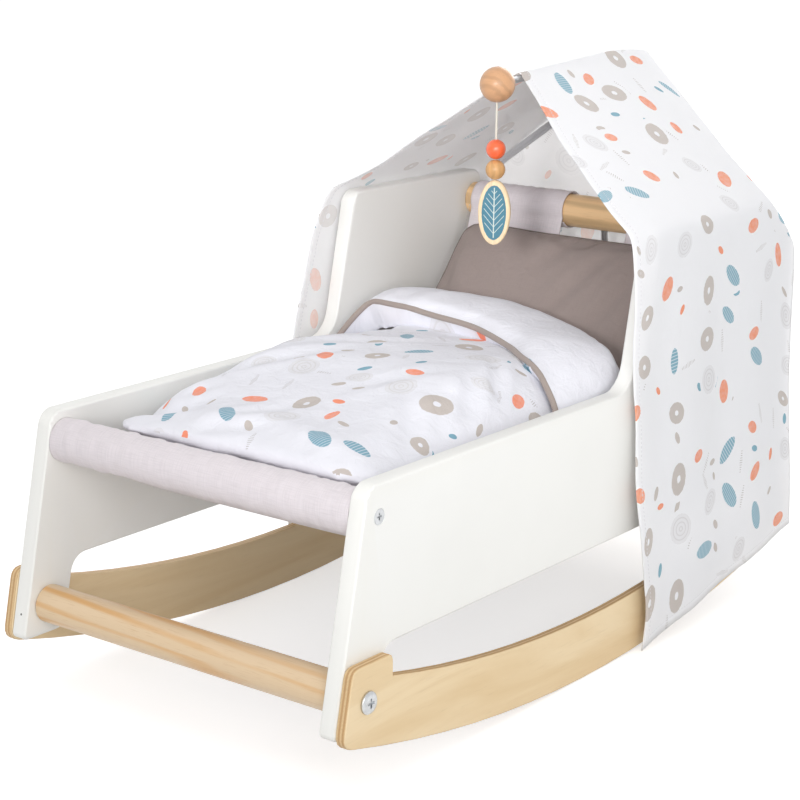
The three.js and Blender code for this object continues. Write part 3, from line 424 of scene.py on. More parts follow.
def metal_finish(name, tint, stretch, low, high):
    """Bright metal with fine drawn or turned scratches."""
    made = Finish(name, Metallic=1.0)
    scratches = made.grain(made.object_place(scale=stretch), 1.0, 3.0, 0.7)
    smears = made.grain(made.object_place(), 240, 3.0)
    shade = made.mixed(made.ranged(smears, 0.35, 0.7), tint, dimmed(tint, 0.82))
    dull = made.ranged(scratches * 0.6 + smears * 0.4, 0.3, 0.7, low, high)
    return made.finish(shade, dull, made.relief(scratches, 0.00003, 0.4))


def weave(made, place, pitch, slub=1.35):
    """Height of a plain weave with threads a little thicker here and there."""
    across, along, _ = made.parts(place)
    wobble = made.grain(place, 120, 2.0) * slub
    turn = 2 * math.pi / pitch
    over = (across * turn + wobble).sine() * (along * turn + wobble).sine()
    return over * 0.5 + made.grain(place, 900, 2.0, 0.7) * 0.7


def cell(made, place, pitch, spread):
    """Jittered cells of a scattered print: place within the cell, turned, and two random numbers."""
    middle, tint = made.node(
        "ShaderNodeTexVoronoi", {"Vector": place, "Scale": 1 / pitch, "Randomness": spread},
        ("Position", "Color"), voronoi_dimensions="2D", feature="F1",
    )
    away = made.node("ShaderNodeVectorMath", (place, middle), operation="SUBTRACT")
    turn, kind, chance = made.node("ShaderNodeSeparateColor", (tint,), (0, 1, 2))
    inputs = {"Vector": away, "Angle": turn * (2 * math.pi)}
    across, along, _ = made.parts(made.node("ShaderNodeVectorRotate", inputs, rotation_type="Z_AXIS"))
    return across, along, kind, chance


def oval(made, across, along, half_width, half_length, scale=None):
    """Distance from an oval's middle, 1 on its edge."""
    if scale is not None:
        half_width, half_length = scale * half_width, scale * half_length
    return made.maths("SQRT", (across / half_width) ** 2 + (along / half_length) ** 2)


def print_pattern(made, place, ground, cloth, fade):
    """Scattered print: orange pebbles, striped blue seeds, taupe rings, pale ringed discs, small pips
    and short rows of bars."""
    def inked(tone):
        return [c * (1 - fade) + g * fade for c, g in zip(tone, ground)]

    def among(kind, low, high):
        return (kind > low) * (kind < high)

    across, along, kind, chance = cell(made, place, cloth.motif_pitch, 0.62)
    scale = made.ranged(chance, 0, 1, 0.72, 1.12)
    ragged = (made.grain(place, 420, 2.0) - 0.5) * 0.12

    def filled(reach, edge=1.0):
        return made.ranged(reach + ragged, edge - 0.03, edge + 0.03, 1, 0, True)

    pebble = oval(made, across, along, 0.0056, 0.0086, scale)
    seed = oval(made, across, along, 0.0054, 0.0118, scale)
    disc = oval(made, across, along, 0.0086, 0.0110, scale)
    blotch = made.ranged(made.grain(place, 260, 2.0), 0.35, 0.7, 0, 0.18)
    bars = made.ranged((along / 0.0023).in_bar(), 0.1, 0.17, 1, 0, True)
    rings = made.ranged((disc * 3.2).in_bar(), 0.1, 0.2, 0, 0.55)
    shade = ground
    for shape, low, high, tone in (
        (filled(pebble), 0.0, 0.25, made.mixed(blotch, inked(cloth.orange), ground)),
        (filled(seed), 0.25, 0.5, made.mixed(bars * 0.55, inked(cloth.blue), ground)),
        (filled(disc) * (1.0 - filled(disc, 0.24)), 0.5, 0.72, inked(cloth.taupe)),
        (filled(disc, 1.06), 0.72, 1.01, made.mixed(rings, inked(cloth.grey), ground)),
    ):
        shade = made.mixed(shape * among(kind, low, high), shade, tone)
    clear = disc > 1.45

    shifted = made.node("ShaderNodeVectorMath", (place, (0.371, 0.513, 0)), operation="ADD")
    across, along, kind, chance = cell(made, shifted, cloth.motif_pitch * 0.66, 0.75)
    scale = made.ranged(chance, 0, 1, 0.7, 1.15)
    pip = filled(oval(made, across, along, 0.0023, 0.0044, scale)) * clear
    for low, high, tone in ((0.0, 0.2, cloth.taupe), (0.2, 0.3, cloth.blue), (0.3, 0.38, cloth.orange)):
        shade = made.mixed(pip * among(kind, low, high), shade, inked(tone))
    row = across * made.ranged(abs(along), 0, 0.0088, 1, 2.6)
    dash = made.ranged((along / 0.0017).in_bar(), 0.1, 0.2, 1, 0, True)
    dash = dash * (abs(row) < 0.0021) * (abs(along) < 0.0085) * clear * among(kind, 0.6, 0.82)
    return made.mixed(dash * 0.7, shade, inked(dimmed(cloth.taupe, 0.66)))


def cloth_finish(
    name, ground, cloth, printed=False, fade=0.0, depth=0.00011, glow=0.0, shadow=0.1, crumple=0.0003,
    streaks=0.0,
):
    """Thin woven cotton, plain or printed, with soft fuzz on its threads and a light crumple."""
    lit = {"Subsurface_Weight": glow, "Subsurface_Radius": (0.009, 0.0086, 0.0082), "Subsurface_Scale": 1.0}
    made = Finish(
        name, IOR=1.45, Specular_IOR_Level=0.2, Sheen_Weight=0.12, Sheen_Roughness=0.6,
        **(lit if glow else {}),
    )
    place = made.cloth_place()
    threads = weave(made, place, cloth.weave_pitch)
    shade = print_pattern(made, place, ground, cloth, fade) if printed else ground
    slubs = made.ranged(made.grain(place, 55, 4.0, 0.6), 0.35, 0.75, 0, 0.5)
    shade = made.mixed(slubs * 0.1, shade, dimmed(ground, 0.8))
    shade = made.mixed(made.ranged(threads, -0.1, 0.8, shadow, 0.0), shade, dimmed(ground, 0.72))
    if streaks:
        for scale in ((1400, 70, 1), (70, 1400, 1)):
            thick = made.ranged(made.grain(made.stretched(place, scale), 1.0, 2.0), 0.42, 0.7, 0, streaks)
            shade = made.mixed(thick, shade, dimmed(ground, 0.82))
    soft = made.relief(made.grain(place, 95, 3.0, 0.55, 0.8), crumple)
    return made.finish(shade, made.ranged(threads, 0, 1, 0.82, 0.95), made.relief(threads, depth, 0.6, soft))


def thread_finish(name, tone, pitch=0.0009):
    """Twisted thread or tape, with its twist read from Object coordinates."""
    made = Finish(name, IOR=1.45, Specular_IOR_Level=0.2, Sheen_Weight=0.2, Sheen_Roughness=0.5)
    place = made.object_place()
    across, along, up = made.parts(place)
    slant = ((across + along + up) * (2 * math.pi / pitch)).sine()
    fuzz = made.grain(place, 1500, 2.0, 0.7)
    height = slant * 0.5 + fuzz
    # Painted shade: the thread is darker in the grooves of its twist, and darker at random with its fuzz
    shade = made.mixed(made.ranged(height, 0.1, 1.1, 0.28, 0.0), tone, dimmed(tone, 0.7))
    return made.finish(shade, made.ranged(fuzz, 0.3, 0.7, 0.8, 0.95), made.relief(height, 0.00012, 0.6))


def string_finish(mobile):
    """Three-strand cotton string, its strands winding round it."""
    made = Finish("twisted_string", IOR=1.45, Specular_IOR_Level=0.2, Sheen_Weight=0.2)
    across, along, up = made.parts(made.object_place(location=(0, MOBILE_Y, 0)))
    around = made.maths("ARCTAN2", along, across)
    twist = (around * 3.0 + up * (2 * math.pi / 0.0011)).sine()
    fuzz = made.grain(made.object_place(), 2500, 2.0)
    height = twist + fuzz
    # Painted shade: the string is darker in the grooves between its strands, and darker at random with its
    # fuzz
    shade = made.mixed(made.ranged(height, -0.6, 1.2, 0.5, 0), mobile.string, dimmed(mobile.string, 0.7))
    return made.finish(shade, made.ranged(fuzz, 0.3, 0.7, 0.8, 0.95), made.relief(height, 0.00015, 0.7))


# Meshes

def new_piece(name, data, *materials):
    piece = bpy.data.objects.new(name, data)
    bpy.context.scene.collection.objects.link(piece)
    if materials:
        set_materials(data, *materials)
    return piece


def set_materials(data, *materials):
    data.materials.clear()
    for material in materials:
        data.materials.append(material)


def settle(piece, body, slot, *nodes):
    """Lets a piece ride on a body, in the place of the given nodes; its slot is not used."""
    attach(piece, body)
    if nodes:
        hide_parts(*nodes)
    return piece


def as_plain_mesh(piece):
    """Applies a piece's modifiers, or turns a curve into a mesh."""
    graph = bpy.context.evaluated_depsgraph_get()
    mesh = bpy.data.meshes.new_from_object(piece.evaluated_get(graph))
    if piece.type == "MESH":
        piece.modifiers.clear()
        piece.data = mesh
        return piece
    name = piece.name
    bpy.data.objects.remove(piece)
    made = new_piece(name, mesh)
    made.name = name
    return made


def modified(piece, kind, **settings):
    """The piece as a plain mesh, after one modifier with the given settings."""
    modifier = piece.modifiers.new(kind.lower(), kind)
    for name, value in settings.items():
        setattr(modifier, name, value)
    return as_plain_mesh(piece)


def vertex_values(mesh, name):
    """Every vertex's place or normal, in rows of three."""
    values = np.zeros(len(mesh.vertices) * 3)
    mesh.vertices.foreach_get(name, values)
    return values.reshape(-1, 3)


def set_cloth_map(mesh, flats):
    """Gives the mesh its flat cloth map, in metres, from one row for each vertex."""
    corners = np.zeros(len(mesh.loops), int)
    mesh.loops.foreach_get("vertex_index", corners)
    layer = mesh.uv_layers.get("cloth") or mesh.uv_layers.new(name="cloth")
    layer.data.foreach_set("uv", flats[corners].astype(np.float32).ravel())


def grid_mesh(name, points, cloth_uv, keep=None):
    """A sheet of quads through rows and columns of points in millimetres, with its flat cloth map."""
    rows, columns = points.shape[:2]
    mesh = bpy.data.meshes.new(name)
    index = np.arange(rows * columns).reshape(rows, columns)
    quads = np.stack([index[:-1, :-1], index[:-1, 1:], index[1:, 1:], index[1:, :-1]], -1)
    if keep is not None:
        quads = quads[keep]
    quads = quads.reshape(-1, 4)
    mesh.from_pydata(points.reshape(-1, 3) * MM, [], quads.tolist())
    set_cloth_map(mesh, cloth_uv.reshape(-1, 2) * MM)
    loose = bmesh.new()
    loose.from_mesh(mesh)
    bmesh.ops.delete(loose, geom=[v for v in loose.verts if not v.link_faces], context="VERTS")
    loose.to_mesh(mesh)
    loose.free()
    mesh.shade_smooth()
    return mesh


def give_thickness(piece, thickness, inner_material=0):
    return modified(
        piece, "SOLIDIFY", thickness=thickness, offset=0, use_even_offset=False,
        material_offset=inner_material,
    )


def line_curve(name, lines, radius=0.0, resolution=4, closed=False):
    """A curve of straight spans through lines of points in millimetres, round where it has a radius."""
    curve = bpy.data.curves.new(name, "CURVE")
    curve.dimensions = "3D"
    curve.bevel_depth = radius
    curve.bevel_resolution = resolution
    curve.use_fill_caps = True
    for line in lines:
        spline = curve.splines.new("POLY")
        spline.points.add(len(line) - 1)
        spline.points.foreach_set("co", np.c_[np.asarray(line) * MM, np.ones(len(line))].ravel())
        spline.use_cyclic_u = closed
    return curve


def tube(name, line, radius, material, resolution=4, closed=False):
    """A round tube along a line of points in millimetres."""
    piece = as_plain_mesh(new_piece(name, line_curve(name, [line], radius, resolution, closed)))
    set_materials(piece.data, material)
    piece.data.shade_smooth()
    return piece


def stitch_tree():
    """Node tree that sets stitches of a given length and pitch along the lines of a curve."""
    tree = bpy.data.node_groups.new("stitch_rows", "GeometryNodeTree")
    for name, kind in (
        ("Lines", "Geometry"), ("Pitch", "Float"), ("Stitch Length", "Float"), ("Thread", "Float"),
        ("Slant", "Float"), ("Material", "Material"),
    ):
        tree.interface.new_socket(name, in_out="INPUT", socket_type=f"NodeSocket{kind}")
    tree.interface.new_socket("Stitches", in_out="OUTPUT", socket_type="NodeSocketGeometry")
    made = Nodes(tree)
    lines, pitch, length, thread, slant, material = made.node("NodeGroupInput", (), (0, 1, 2, 3, 4, 5))
    spaced = made.node("GeometryNodeResampleCurve", {"Curve": lines, "Length": pitch}, mode="LENGTH")
    drop = made.node("GeometryNodeMeshIcoSphere", {"Subdivisions": 1, "Radius": 0.5})
    stretch = made.node("ShaderNodeCombineXYZ", (thread, thread, length))
    tangent = made.node("GeometryNodeInputTangent")
    upright = made.node("FunctionNodeAlignRotationToVector", {"Vector": tangent}, axis="Z")
    lean = made.node("FunctionNodeEulerToRotation", (made.node("ShaderNodeCombineXYZ", (slant,)),))
    turned = made.node(
        "FunctionNodeRotateRotation", {"Rotation": upright, "Rotate By": lean}, rotation_space="LOCAL",
    )
    sown = made.node("GeometryNodeInstanceOnPoints", {
        "Points": spaced, "Instance": drop, "Rotation": turned, "Scale": stretch,
    })
    real = made.node("GeometryNodeRealizeInstances", (sown,))
    painted = made.node("GeometryNodeSetMaterial", {"Geometry": real, "Material": material})
    made.put(made.add("NodeGroupOutput").inputs[0], painted)
    return tree


def stitch_rows(name, lines, material, body, slot, length_share=0.72, thread=0.00045, slant=0.0, pitch=None):
    """Rows of stitches along lines of points in millimetres, riding on a body."""
    tree = bpy.data.node_groups.get("stitch_rows") or stitch_tree()
    piece = new_piece(name, line_curve(name, lines))
    pitch = pitch or bpy.context.scene.cradle_cloth.stitch_pitch
    sewing = piece.modifiers.new("stitches", "NODES")
    sewing.node_group = tree
    values = {
        "Pitch": pitch, "Stitch Length": pitch * length_share, "Thread": thread,
        "Slant": slant, "Material": material,
    }
    for item in tree.interface.items_tree:
        if item.in_out == "INPUT" and item.name in values:
            sewing[item.identifier] = values[item.name]
    piece = as_plain_mesh(piece)
    set_materials(piece.data, material)
    return settle(piece, body, slot)


def merged_copy(source, angle):
    """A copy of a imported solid's mesh, its loose triangles merged and its round faces shaded smooth."""
    mesh = source.copy()
    work = bmesh.new()
    work.from_mesh(mesh)
    bmesh.ops.remove_doubles(work, verts=work.verts, dist=0.00001)
    for edge in work.edges:
        edge.smooth = edge.is_manifold and edge.calc_face_angle(0) < angle
    for face in work.faces:
        face.smooth = True
    work.to_mesh(mesh)
    work.free()
    return mesh


def dressed(node, name, material, angle=35):
    """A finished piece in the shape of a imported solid, standing for it."""
    solid = frame["nodes"][node]
    piece = new_piece(name, merged_copy(solid.data, math.radians(angle)), material)
    piece = modified(piece, "WEIGHTED_NORMAL", keep_sharp=True, weight=90)
    return settle(piece, body_of(solid)[0], solid.material_slots[0].material.name.split(".")[0], node)


# Cloth forms

def between(pairs, at):
    """Values of a table of [at, value] pairs, straight between its entries."""
    places, values = zip(*pairs)
    return np.interp(at, places, values)


def eased(pairs, at, reach=0.06):
    """The same with its corners eased over a reach."""
    offsets = np.linspace(-reach, reach, 9)
    return np.mean([between(pairs, np.asarray(at) + offset) for offset in offsets], axis=0)


def ripple(points, scale, seed=0.0):
    """Soft random swell, about -1 to 1, over an array of points in millimetres."""
    flat = points.reshape(-1, 3) / scale + seed
    values = [noise.noise(Vector(p)) for p in flat]
    return np.array(values).reshape(points.shape[:-1])


def joined(*parts):
    """Places from their coordinates, each one a number or an array that fits the others."""
    return np.stack(np.broadcast_arrays(*parts), -1)


def normals_of(points):
    """Unit normals of a sheet given as rows and columns of points."""
    down = np.gradient(points, axis=0)
    across = np.gradient(points, axis=1)
    normal = np.cross(across, down)
    return normal / np.maximum(np.linalg.norm(normal, axis=-1, keepdims=True), 1e-9)


def run_along(points):
    """Distance along a row of points from its first."""
    steps = np.linalg.norm(np.diff(points, axis=0), axis=1)
    return np.r_[0, np.cumsum(steps)]


def catmull(points, per_span):
    """A smooth line through points."""
    points = np.asarray(points, float)
    padded = np.vstack([2 * points[0] - points[1], points, 2 * points[-1] - points[-2]])
    share = np.linspace(0, 1, per_span, endpoint=False)[:, None]
    spans = [
        0.5 * (
            2 * b + (c - a) * share + (2 * a - 5 * b + 4 * c - d) * share ** 2
            + (3 * b - a - 3 * c + d) * share ** 3
        )
        for a, b, c, d in zip(padded, padded[1:], padded[2:], padded[3:])
    ]
    return np.vstack([*spans, points[-1:]])


# Canopy, in millimetres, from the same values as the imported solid
PANEL_OUTER = 134.0
PANEL_TOP = 290.0
BALL_Y, BALL_Z = MOBILE_Y / MM, BALL_HEIGHT / MM
OFF_POLE, OFF_PANEL = 3.9, 1.7
RIDGE_FRONT, RIDGE_RISE, RIDGE_DROOP = 0.27, 0.066, 6.0
EAVE_DROOP, HEAD_CORNER = {-1: 3.0, 1: 33.0}, 230.0
POLE_CORNER_Y = 205.0
EAVE_FRONT, CANOPY_REAR, CANOPY_REAR_HEM = 37.0, 270.0, 263.0
HEM_FRONT, HEM_REAR = 2.6, 41.0
CANOPY_FLARE = 14.6
WALL_Y, WALL_HEM, WALL_ABOVE_EAVE = 263.0, 92.0, 1.5
FRONT_SHARES = {
    1: {
        "slope": [[0, RIDGE_FRONT], [0.28, 0.18], [0.41, 0.129], [0.72, 0.047], [0.88, 0.013], [1, 0]],
        "hang": [[0, 0], [0.3, 0.004], [0.5, 0.03], [0.62, 0.017], [0.83, 0.047], [0.93, 0.073], [1, 0.039]],
    },
    -1: {
        "slope": [[0, RIDGE_FRONT], [0.28, 0.227], [0.51, 0.185], [0.8, 0.176], [1, 0.073]],
        "hang": [
            [0, 0.073], [0.08, 0.026], [0.2, -0.017], [0.32, -0.069], [0.6, -0.082], [0.85, -0.056],
            [1, -0.021],
        ],
    },
}
FLARE_SHARES = [[0, 0], [0.1, 0.12], [0.3, 0.17], [0.5, 0.25], [0.65, 0.5], [0.85, 0.85], [1, 1]]


def ridge_height(y):
    """Height of the pole's ridge line, drooping a little behind its bend."""
    behind = np.clip((y - POLE_CORNER_Y) / (CANOPY_REAR - POLE_CORNER_Y), 0, 1)
    return BALL_Z + RIDGE_RISE * (y - BALL_Y) - RIDGE_DROOP * behind ** 2


def eave_height(sign, y):
    """Height of the fold along the panels' tops, sinking where the cloth hangs free behind them."""
    behind = np.clip((y - HEAD_CORNER) / (CANOPY_REAR - HEAD_CORNER), 0, 1)
    return PANEL_TOP - EAVE_DROOP[sign] * behind ** 1.3


def reach_along(front_share, rear, along):
    """How far back the cloth is, from its front edge at a share of the canopy's depth to its rear edge."""
    front = EAVE_FRONT + (CANOPY_REAR - EAVE_FRONT) * front_share
    return front + (rear - front) * along


def slope_column(sign, share, along):
    """Places from front to rear on a slope of the roof, at a share of the way from ridge to eave."""
    y = reach_along(eased(FRONT_SHARES[sign]["slope"], share), CANOPY_REAR, along)
    top = ridge_height(y)
    eave = eave_height(sign, y)
    angle = np.arctan2(top - eave, PANEL_OUTER)
    swell = 0.5 - 0.5 * np.cos(2 * np.pi * (2.5 * along + sign / 6))
    off = OFF_POLE * (1 - share) + OFF_PANEL * share + 1.4 * swell * math.sin(math.pi * share) ** 2
    x = share * PANEL_OUTER + off * np.sin(angle)
    z = top + share * (eave - top) + off * np.cos(angle)
    return joined(sign * x, y, z)


def ridge_column(turn, along):
    """Place on the cloth's bend over the pole, turn from -1 to 1 across it."""
    y = reach_along(RIDGE_FRONT, CANOPY_REAR, along)
    top = ridge_height(y)
    angle = turn * np.arctan2(top - eave_height(1 if turn > 0 else -1, y), PANEL_OUTER)
    return joined(OFF_POLE * np.sin(angle), y, top + OFF_POLE * np.cos(angle))


def hang_column(sign, drop, along):
    """Places from front to rear on a side hang, at a share of the way from eave to hem."""
    rear = CANOPY_REAR + (CANOPY_REAR_HEM - CANOPY_REAR) * drop
    y = reach_along(eased(FRONT_SHARES[sign]["hang"], drop), rear, along)
    hem = HEM_FRONT + (HEM_REAR - HEM_FRONT) * along
    swell = 0.5 + 0.5 * np.cos(2 * np.pi * (2.5 * along + sign / 6))
    fold = (2.6 * math.sin(math.pi * drop) + 1.6 * drop ** 2) * swell
    x = PANEL_OUTER + OFF_PANEL + CANOPY_FLARE * eased(FLARE_SHARES, drop) + fold - 1.2 * drop ** 2
    eave = eave_height(sign, y)
    return joined(sign * x, y, eave + (hem - eave) * drop)


def with_round_eaves(points, eaves):
    """The canopy's places with its folds at the two eave columns rounded."""
    for _ in range(7):
        smooth = points.copy()
        for eave in eaves:
            span = slice(eave - 6, eave + 6)
            before, after = slice(eave - 7, eave + 5), slice(eave - 5, eave + 7)
            smooth[:, span] = (points[:, before] + points[:, after]) / 2
        points = smooth
    return points


def canopy_grid(rows=64):
    """Middle of the canopy's cloth, from the left hem over the ridge to the right hem."""
    along = np.linspace(0, 1, rows)
    slope_shares = np.r_[np.linspace(0, 0.93, 30), np.linspace(0.94, 1, 6)]
    hang_drops = np.r_[np.linspace(0.005, 0.03, 5), np.linspace(0.042, 1, 52)]
    left = [hang_column(-1, drop, along) for drop in hang_drops[::-1]]
    left += [slope_column(-1, share, along) for share in slope_shares[:0:-1]]
    ridge = [ridge_column(turn, along) for turn in np.linspace(-1, 1, 7)]
    right = [slope_column(1, share, along) for share in slope_shares[1:]]
    right += [hang_column(1, drop, along) for drop in hang_drops]
    points = np.stack([*left, *ridge, *right], axis=1)
    columns = points.shape[1]
    points = with_round_eaves(points, (len(hang_drops), columns - len(hang_drops)))
    outward = normals_of(points)
    if outward[rows // 2, columns // 2, 2] < 0:
        outward = -outward
    from_ridge = np.abs(np.arange(columns) - (columns - 1) / 2) / ((columns - 1) / 2)
    free = np.clip((from_ridge - 0.04) * 6, 0, 1)
    hanging = np.clip((from_ridge - 0.42) * 3, 0, 1)
    waves = ripple(points, 55, 3.1) * 0.9 * free + np.maximum(ripple(points, 95, 7.7), -0.4) * 2.2 * hanging
    waves += ripple(points * [1, 1, 0.35], 17, 1.3) * 0.35 * free
    place = np.arange(columns)
    flutter = np.sin(place / 3.1 + 1.5 * np.sin(place / 8.3)) * np.exp(-np.arange(rows) / 4)[:, None]
    waves += 0.7 * flutter * free
    points = points + outward * np.maximum(waves, -0.7)[..., None]
    points[..., 2] = np.maximum(points[..., 2], 1.2)
    return points, outward


def line_on(points, row, column):
    """Points where fractional rows or columns of a grid run."""
    rows, columns = points.shape[:2]
    row = np.clip(row, 0, rows - 1.001)
    column = np.clip(column, 0, columns - 1.001)
    i, j = np.floor(row).astype(int), np.floor(column).astype(int)
    p, q = (row - i)[..., None], (column - j)[..., None]
    return (
        points[i, j] * (1 - p) * (1 - q) + points[i + 1, j] * p * (1 - q)
        + points[i, j + 1] * (1 - p) * q + points[i + 1, j + 1] * p * q
    )


# Sling, duvet and pillow, in millimetres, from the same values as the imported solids
SLING_LOW = 111.0
FOOT_RAIL = (-229.0, 164.6)
HEAD_RAIL = (220.4, 267.7)
SLING_RADIUS, TUNNEL_RADIUS = 13.4, 14.3
SLING_HALF, LOOP_INNER, LOOP_OUTER = 119.9, 29.0, 114.0
LOOPS_BEHIND_Y, LOOPS_ABOVE_Z, SIDE_SEAM = 100.0, 226.0, 116.5
DUVET_WIDTH, DUVET_FOOT, CREST_Y, CREST_Z = 233.0, 217.5, 119.0, 213.0
DUVET_SLANT = math.radians(30)
BODY_UNDER_POINTS, FLAP_UNDER_POINTS = 34, 22
SAG_SHARES = [
    [0.178, 0.102], [0.291, 0.032], [0.403, 0], [0.516, 0], [0.629, 0.045],
    [0.719, 0.147], [0.809, 0.332], [0.888, 0.549], [0.944, 0.759],
]
FLAP_REACH = [
    [-1, 0.1], [-0.96, 0.3], [-0.91, 0.5], [-0.6, 0.45], [-0.34, 0.44], [0, 0.4], [0.34, 0.25], [0.6, 0.04],
    [0.81, -0.06], [1, -0.15],
]
FLAP_HEIGHT = [
    [-1, 0.72], [-0.96, 0.86], [-0.91, 1], [-0.6, 1.02], [-0.34, 0.99], [0, 0.97], [0.34, 0.93], [0.6, 0.87],
    [0.81, 0.83], [1, 0.7],
]
CREST_REACH = [[-1, 0.97], [-0.43, 1.01], [0, 1], [0.51, 0.87], [0.9, 0.6], [1, 0.53]]
CREST_HEIGHT = [[-1, 1.02], [-0.43, 1.02], [0, 1], [0.51, 0.92], [0.9, 0.9], [1, 0.89]]
DUVET_TOP = [
    [0, 0.72], [0.03, 0.745], [0.17, 0.755], [0.25, 0.8], [0.32, 0.843], [0.44, 0.912], [0.57, 0.9],
    [0.78, 0.83], [1, 0.8],
]
PILLOW_WIDTH, PILLOW_LENGTH, PILLOW_THICKNESS = 231.0, 128.0, 32.0
PILLOW_TURN = Matrix.Rotation(math.radians(48.13), 3, "X")
PILLOW_CENTRE = Vector((0, 154.0, 206.4))

# Creases of the bedding as start, end, width and depth; the pillow's in its own lying frame
DUVET_CREASES = (
    ((-108, -180, 190), (-64, -150, 197), 7, 3.4), ((-104, -150, 192), (-30, -60, 205), 9, 2.6),
    ((-96, -208, 184), (-40, -196, 188), 6, 1.6), ((-30, -212, 184), (20, -190, 188), 7, 1.6),
    ((-20, -205, 186), (10, -150, 190), 7, 1.8), ((60, -205, 186), (30, -140, 192), 6, 2.0),
    ((112, -170, 186), (50, -90, 200), 8, 2.4), ((112, -110, 190), (70, -50, 203), 7, 2.6),
    ((100, -60, 195), (60, -10, 205), 6, 2.4), ((-112, -80, 196), (-60, -20, 208), 7, 2.2),
    ((-60, -60, 205), (0, 20, 208), 9, 1.6), ((20, -120, 195), (60, -60, 203), 8, 1.6),
)
FLAP_CREASES = (
    ((95, 0, 198), (70, 60, 204), 7, 2.0), ((60, 10, 203), (40, 80, 208), 9, 1.4),
    ((-80, 45, 214), (-60, 110, 216), 9, 1.2), ((0, 50, 210), (10, 120, 212), 11, 1.0),
)
PILLOW_FOLDS = (
    ((44, 56, 9), (4, -18, 17), 8, 2.6), ((74, 50, 9), (46, -24, 17), 7, 2.8),
    ((98, 30, 8), (74, -34, 15), 7, 2.4), ((12, 58, 9), (-16, 24, 16), 8, 1.6),
    ((-104, 20, 7), (-80, -20, 14), 8, 1.6),
)


def ring_point(centre, radius, degrees):
    angle = math.radians(degrees)
    return [centre[0] + radius * math.cos(angle), centre[1] + radius * math.sin(angle)]


def sling_line(radius):
    """Side view of the sling's bed between the rails, as (y, z) points."""
    span, rise = HEAD_RAIL[0] - FOOT_RAIL[0], HEAD_RAIL[1] - SLING_LOW
    return catmull([
        ring_point(FOOT_RAIL, radius, -65),
        *[[share * span + FOOT_RAIL[0], SLING_LOW + low * rise] for share, low in SAG_SHARES],
        ring_point(HEAD_RAIL, radius, 200),
    ], 12)


BED_LINE = sling_line(SLING_RADIUS)


def bed_top(y):
    """Height of the upper face of the sling's bed."""
    return np.interp(y, BED_LINE[:, 0], BED_LINE[:, 1]) + 1.2


def above_tunnel(y):
    """Lowest height at which bedding drawn out on a slant clears the foot rail's tunnel."""
    return FOOT_RAIL[1] - (y - FOOT_RAIL[0]) * math.tan(DUVET_SLANT) + TUNNEL_RADIUS / math.cos(DUVET_SLANT)


def duvet_height(share):
    """Height at a share of the way from the sling's lowest place to the duvet's crest."""
    return SLING_LOW + share * (CREST_Z - SLING_LOW)


class DuvetSection:
    """Side view of the duvet at one share of its width."""

    def __init__(self, share):
        self.share = share
        self.ease = 0.03 if share < -0.8 else 0.1
        self.crown = (1 - share ** 6) ** 0.32
        self.flap_crown = (1 - share ** 24) ** 0.3
        self.foot_y = -DUVET_FOOT - 2.5 + 7 * share ** 4 + 12 * share ** 20
        self.tip_z = above_tunnel(self.foot_y) + 1.5
        self.flap_y = CREST_Y * float(eased(FLAP_REACH, share, self.ease))
        self.crest_y = CREST_Y * float(eased(CREST_REACH, share, 0.1))
        self.lip_z = max(
            float(self.raised(self.flap_y, FLAP_HEIGHT)), float(self.over(self.flap_y)) + 8,
        )
        self.crest_z = float(self.raised(self.crest_y - 42, CREST_HEIGHT))

    def under(self, y):
        return np.maximum(bed_top(y) + 0.3, above_tunnel(y)) + 9 * self.share ** 6

    def over(self, y):
        middle = duvet_height(eased(DUVET_TOP, (y + DUVET_FOOT) / (DUVET_FOOT + CREST_Y), 0.04)) + 1.0
        at_left = np.clip((-0.3 - self.share) / 0.4, 0, 1)
        near_foot = 0.5 - 0.5 * np.cos(np.pi * np.clip((-150 - y) / 34, 0, 1))
        return self.under(y) + (middle - self.under(y)) * self.crown * (1 - 0.42 * at_left * near_foot)

    def raised(self, y, shares):
        base = self.under(y)
        return base + (duvet_height(float(eased(shares, self.share, self.ease))) - base) * self.flap_crown

    def flap_top(self, y):
        run = np.clip((y - self.flap_y) / (self.crest_y - self.flap_y), 0, 1)
        return self.lip_z + (self.crest_z - self.lip_z) * run + 4 * np.sin(np.pi * run)

    def foot_round(self, y):
        inside = np.clip((y - self.foot_y) / 14, 0, 1)
        return np.sqrt(1 - (1 - inside) ** 2)


def duvet_body_ring(section):
    """Closed side view of the duvet without its folded end, from the rear underside forwards."""
    rear = section.crest_y - 42
    y_under = np.linspace(rear - 8, section.foot_y, BODY_UNDER_POINTS, endpoint=False)
    under = section.tip_z + (section.under(y_under) - section.tip_z) * section.foot_round(y_under)
    y_over = section.foot_y + 14 * (1 - np.cos(np.linspace(0, np.pi / 2, 8)))
    crest_in = section.crest_y - 9
    y_over = np.r_[y_over, np.linspace(section.foot_y + 14, crest_in, 60)[1:]]
    top = section.over(y_over)
    covered = y_over > section.flap_y + 4
    top = np.where(covered, np.minimum(top, section.flap_top(y_over) - 8), top)
    over = section.tip_z + (top - section.tip_z) * section.foot_round(y_over)
    back_z = float(section.under(rear))
    rear_line = catmull([
        [crest_in, over[-1]], [section.crest_y - 4, section.crest_z - 14], [rear + 8, back_z + 16],
        [rear, back_z + 4],
    ], 5)[1:]
    return np.vstack([np.c_[y_under, under], np.c_[y_over, over], rear_line])


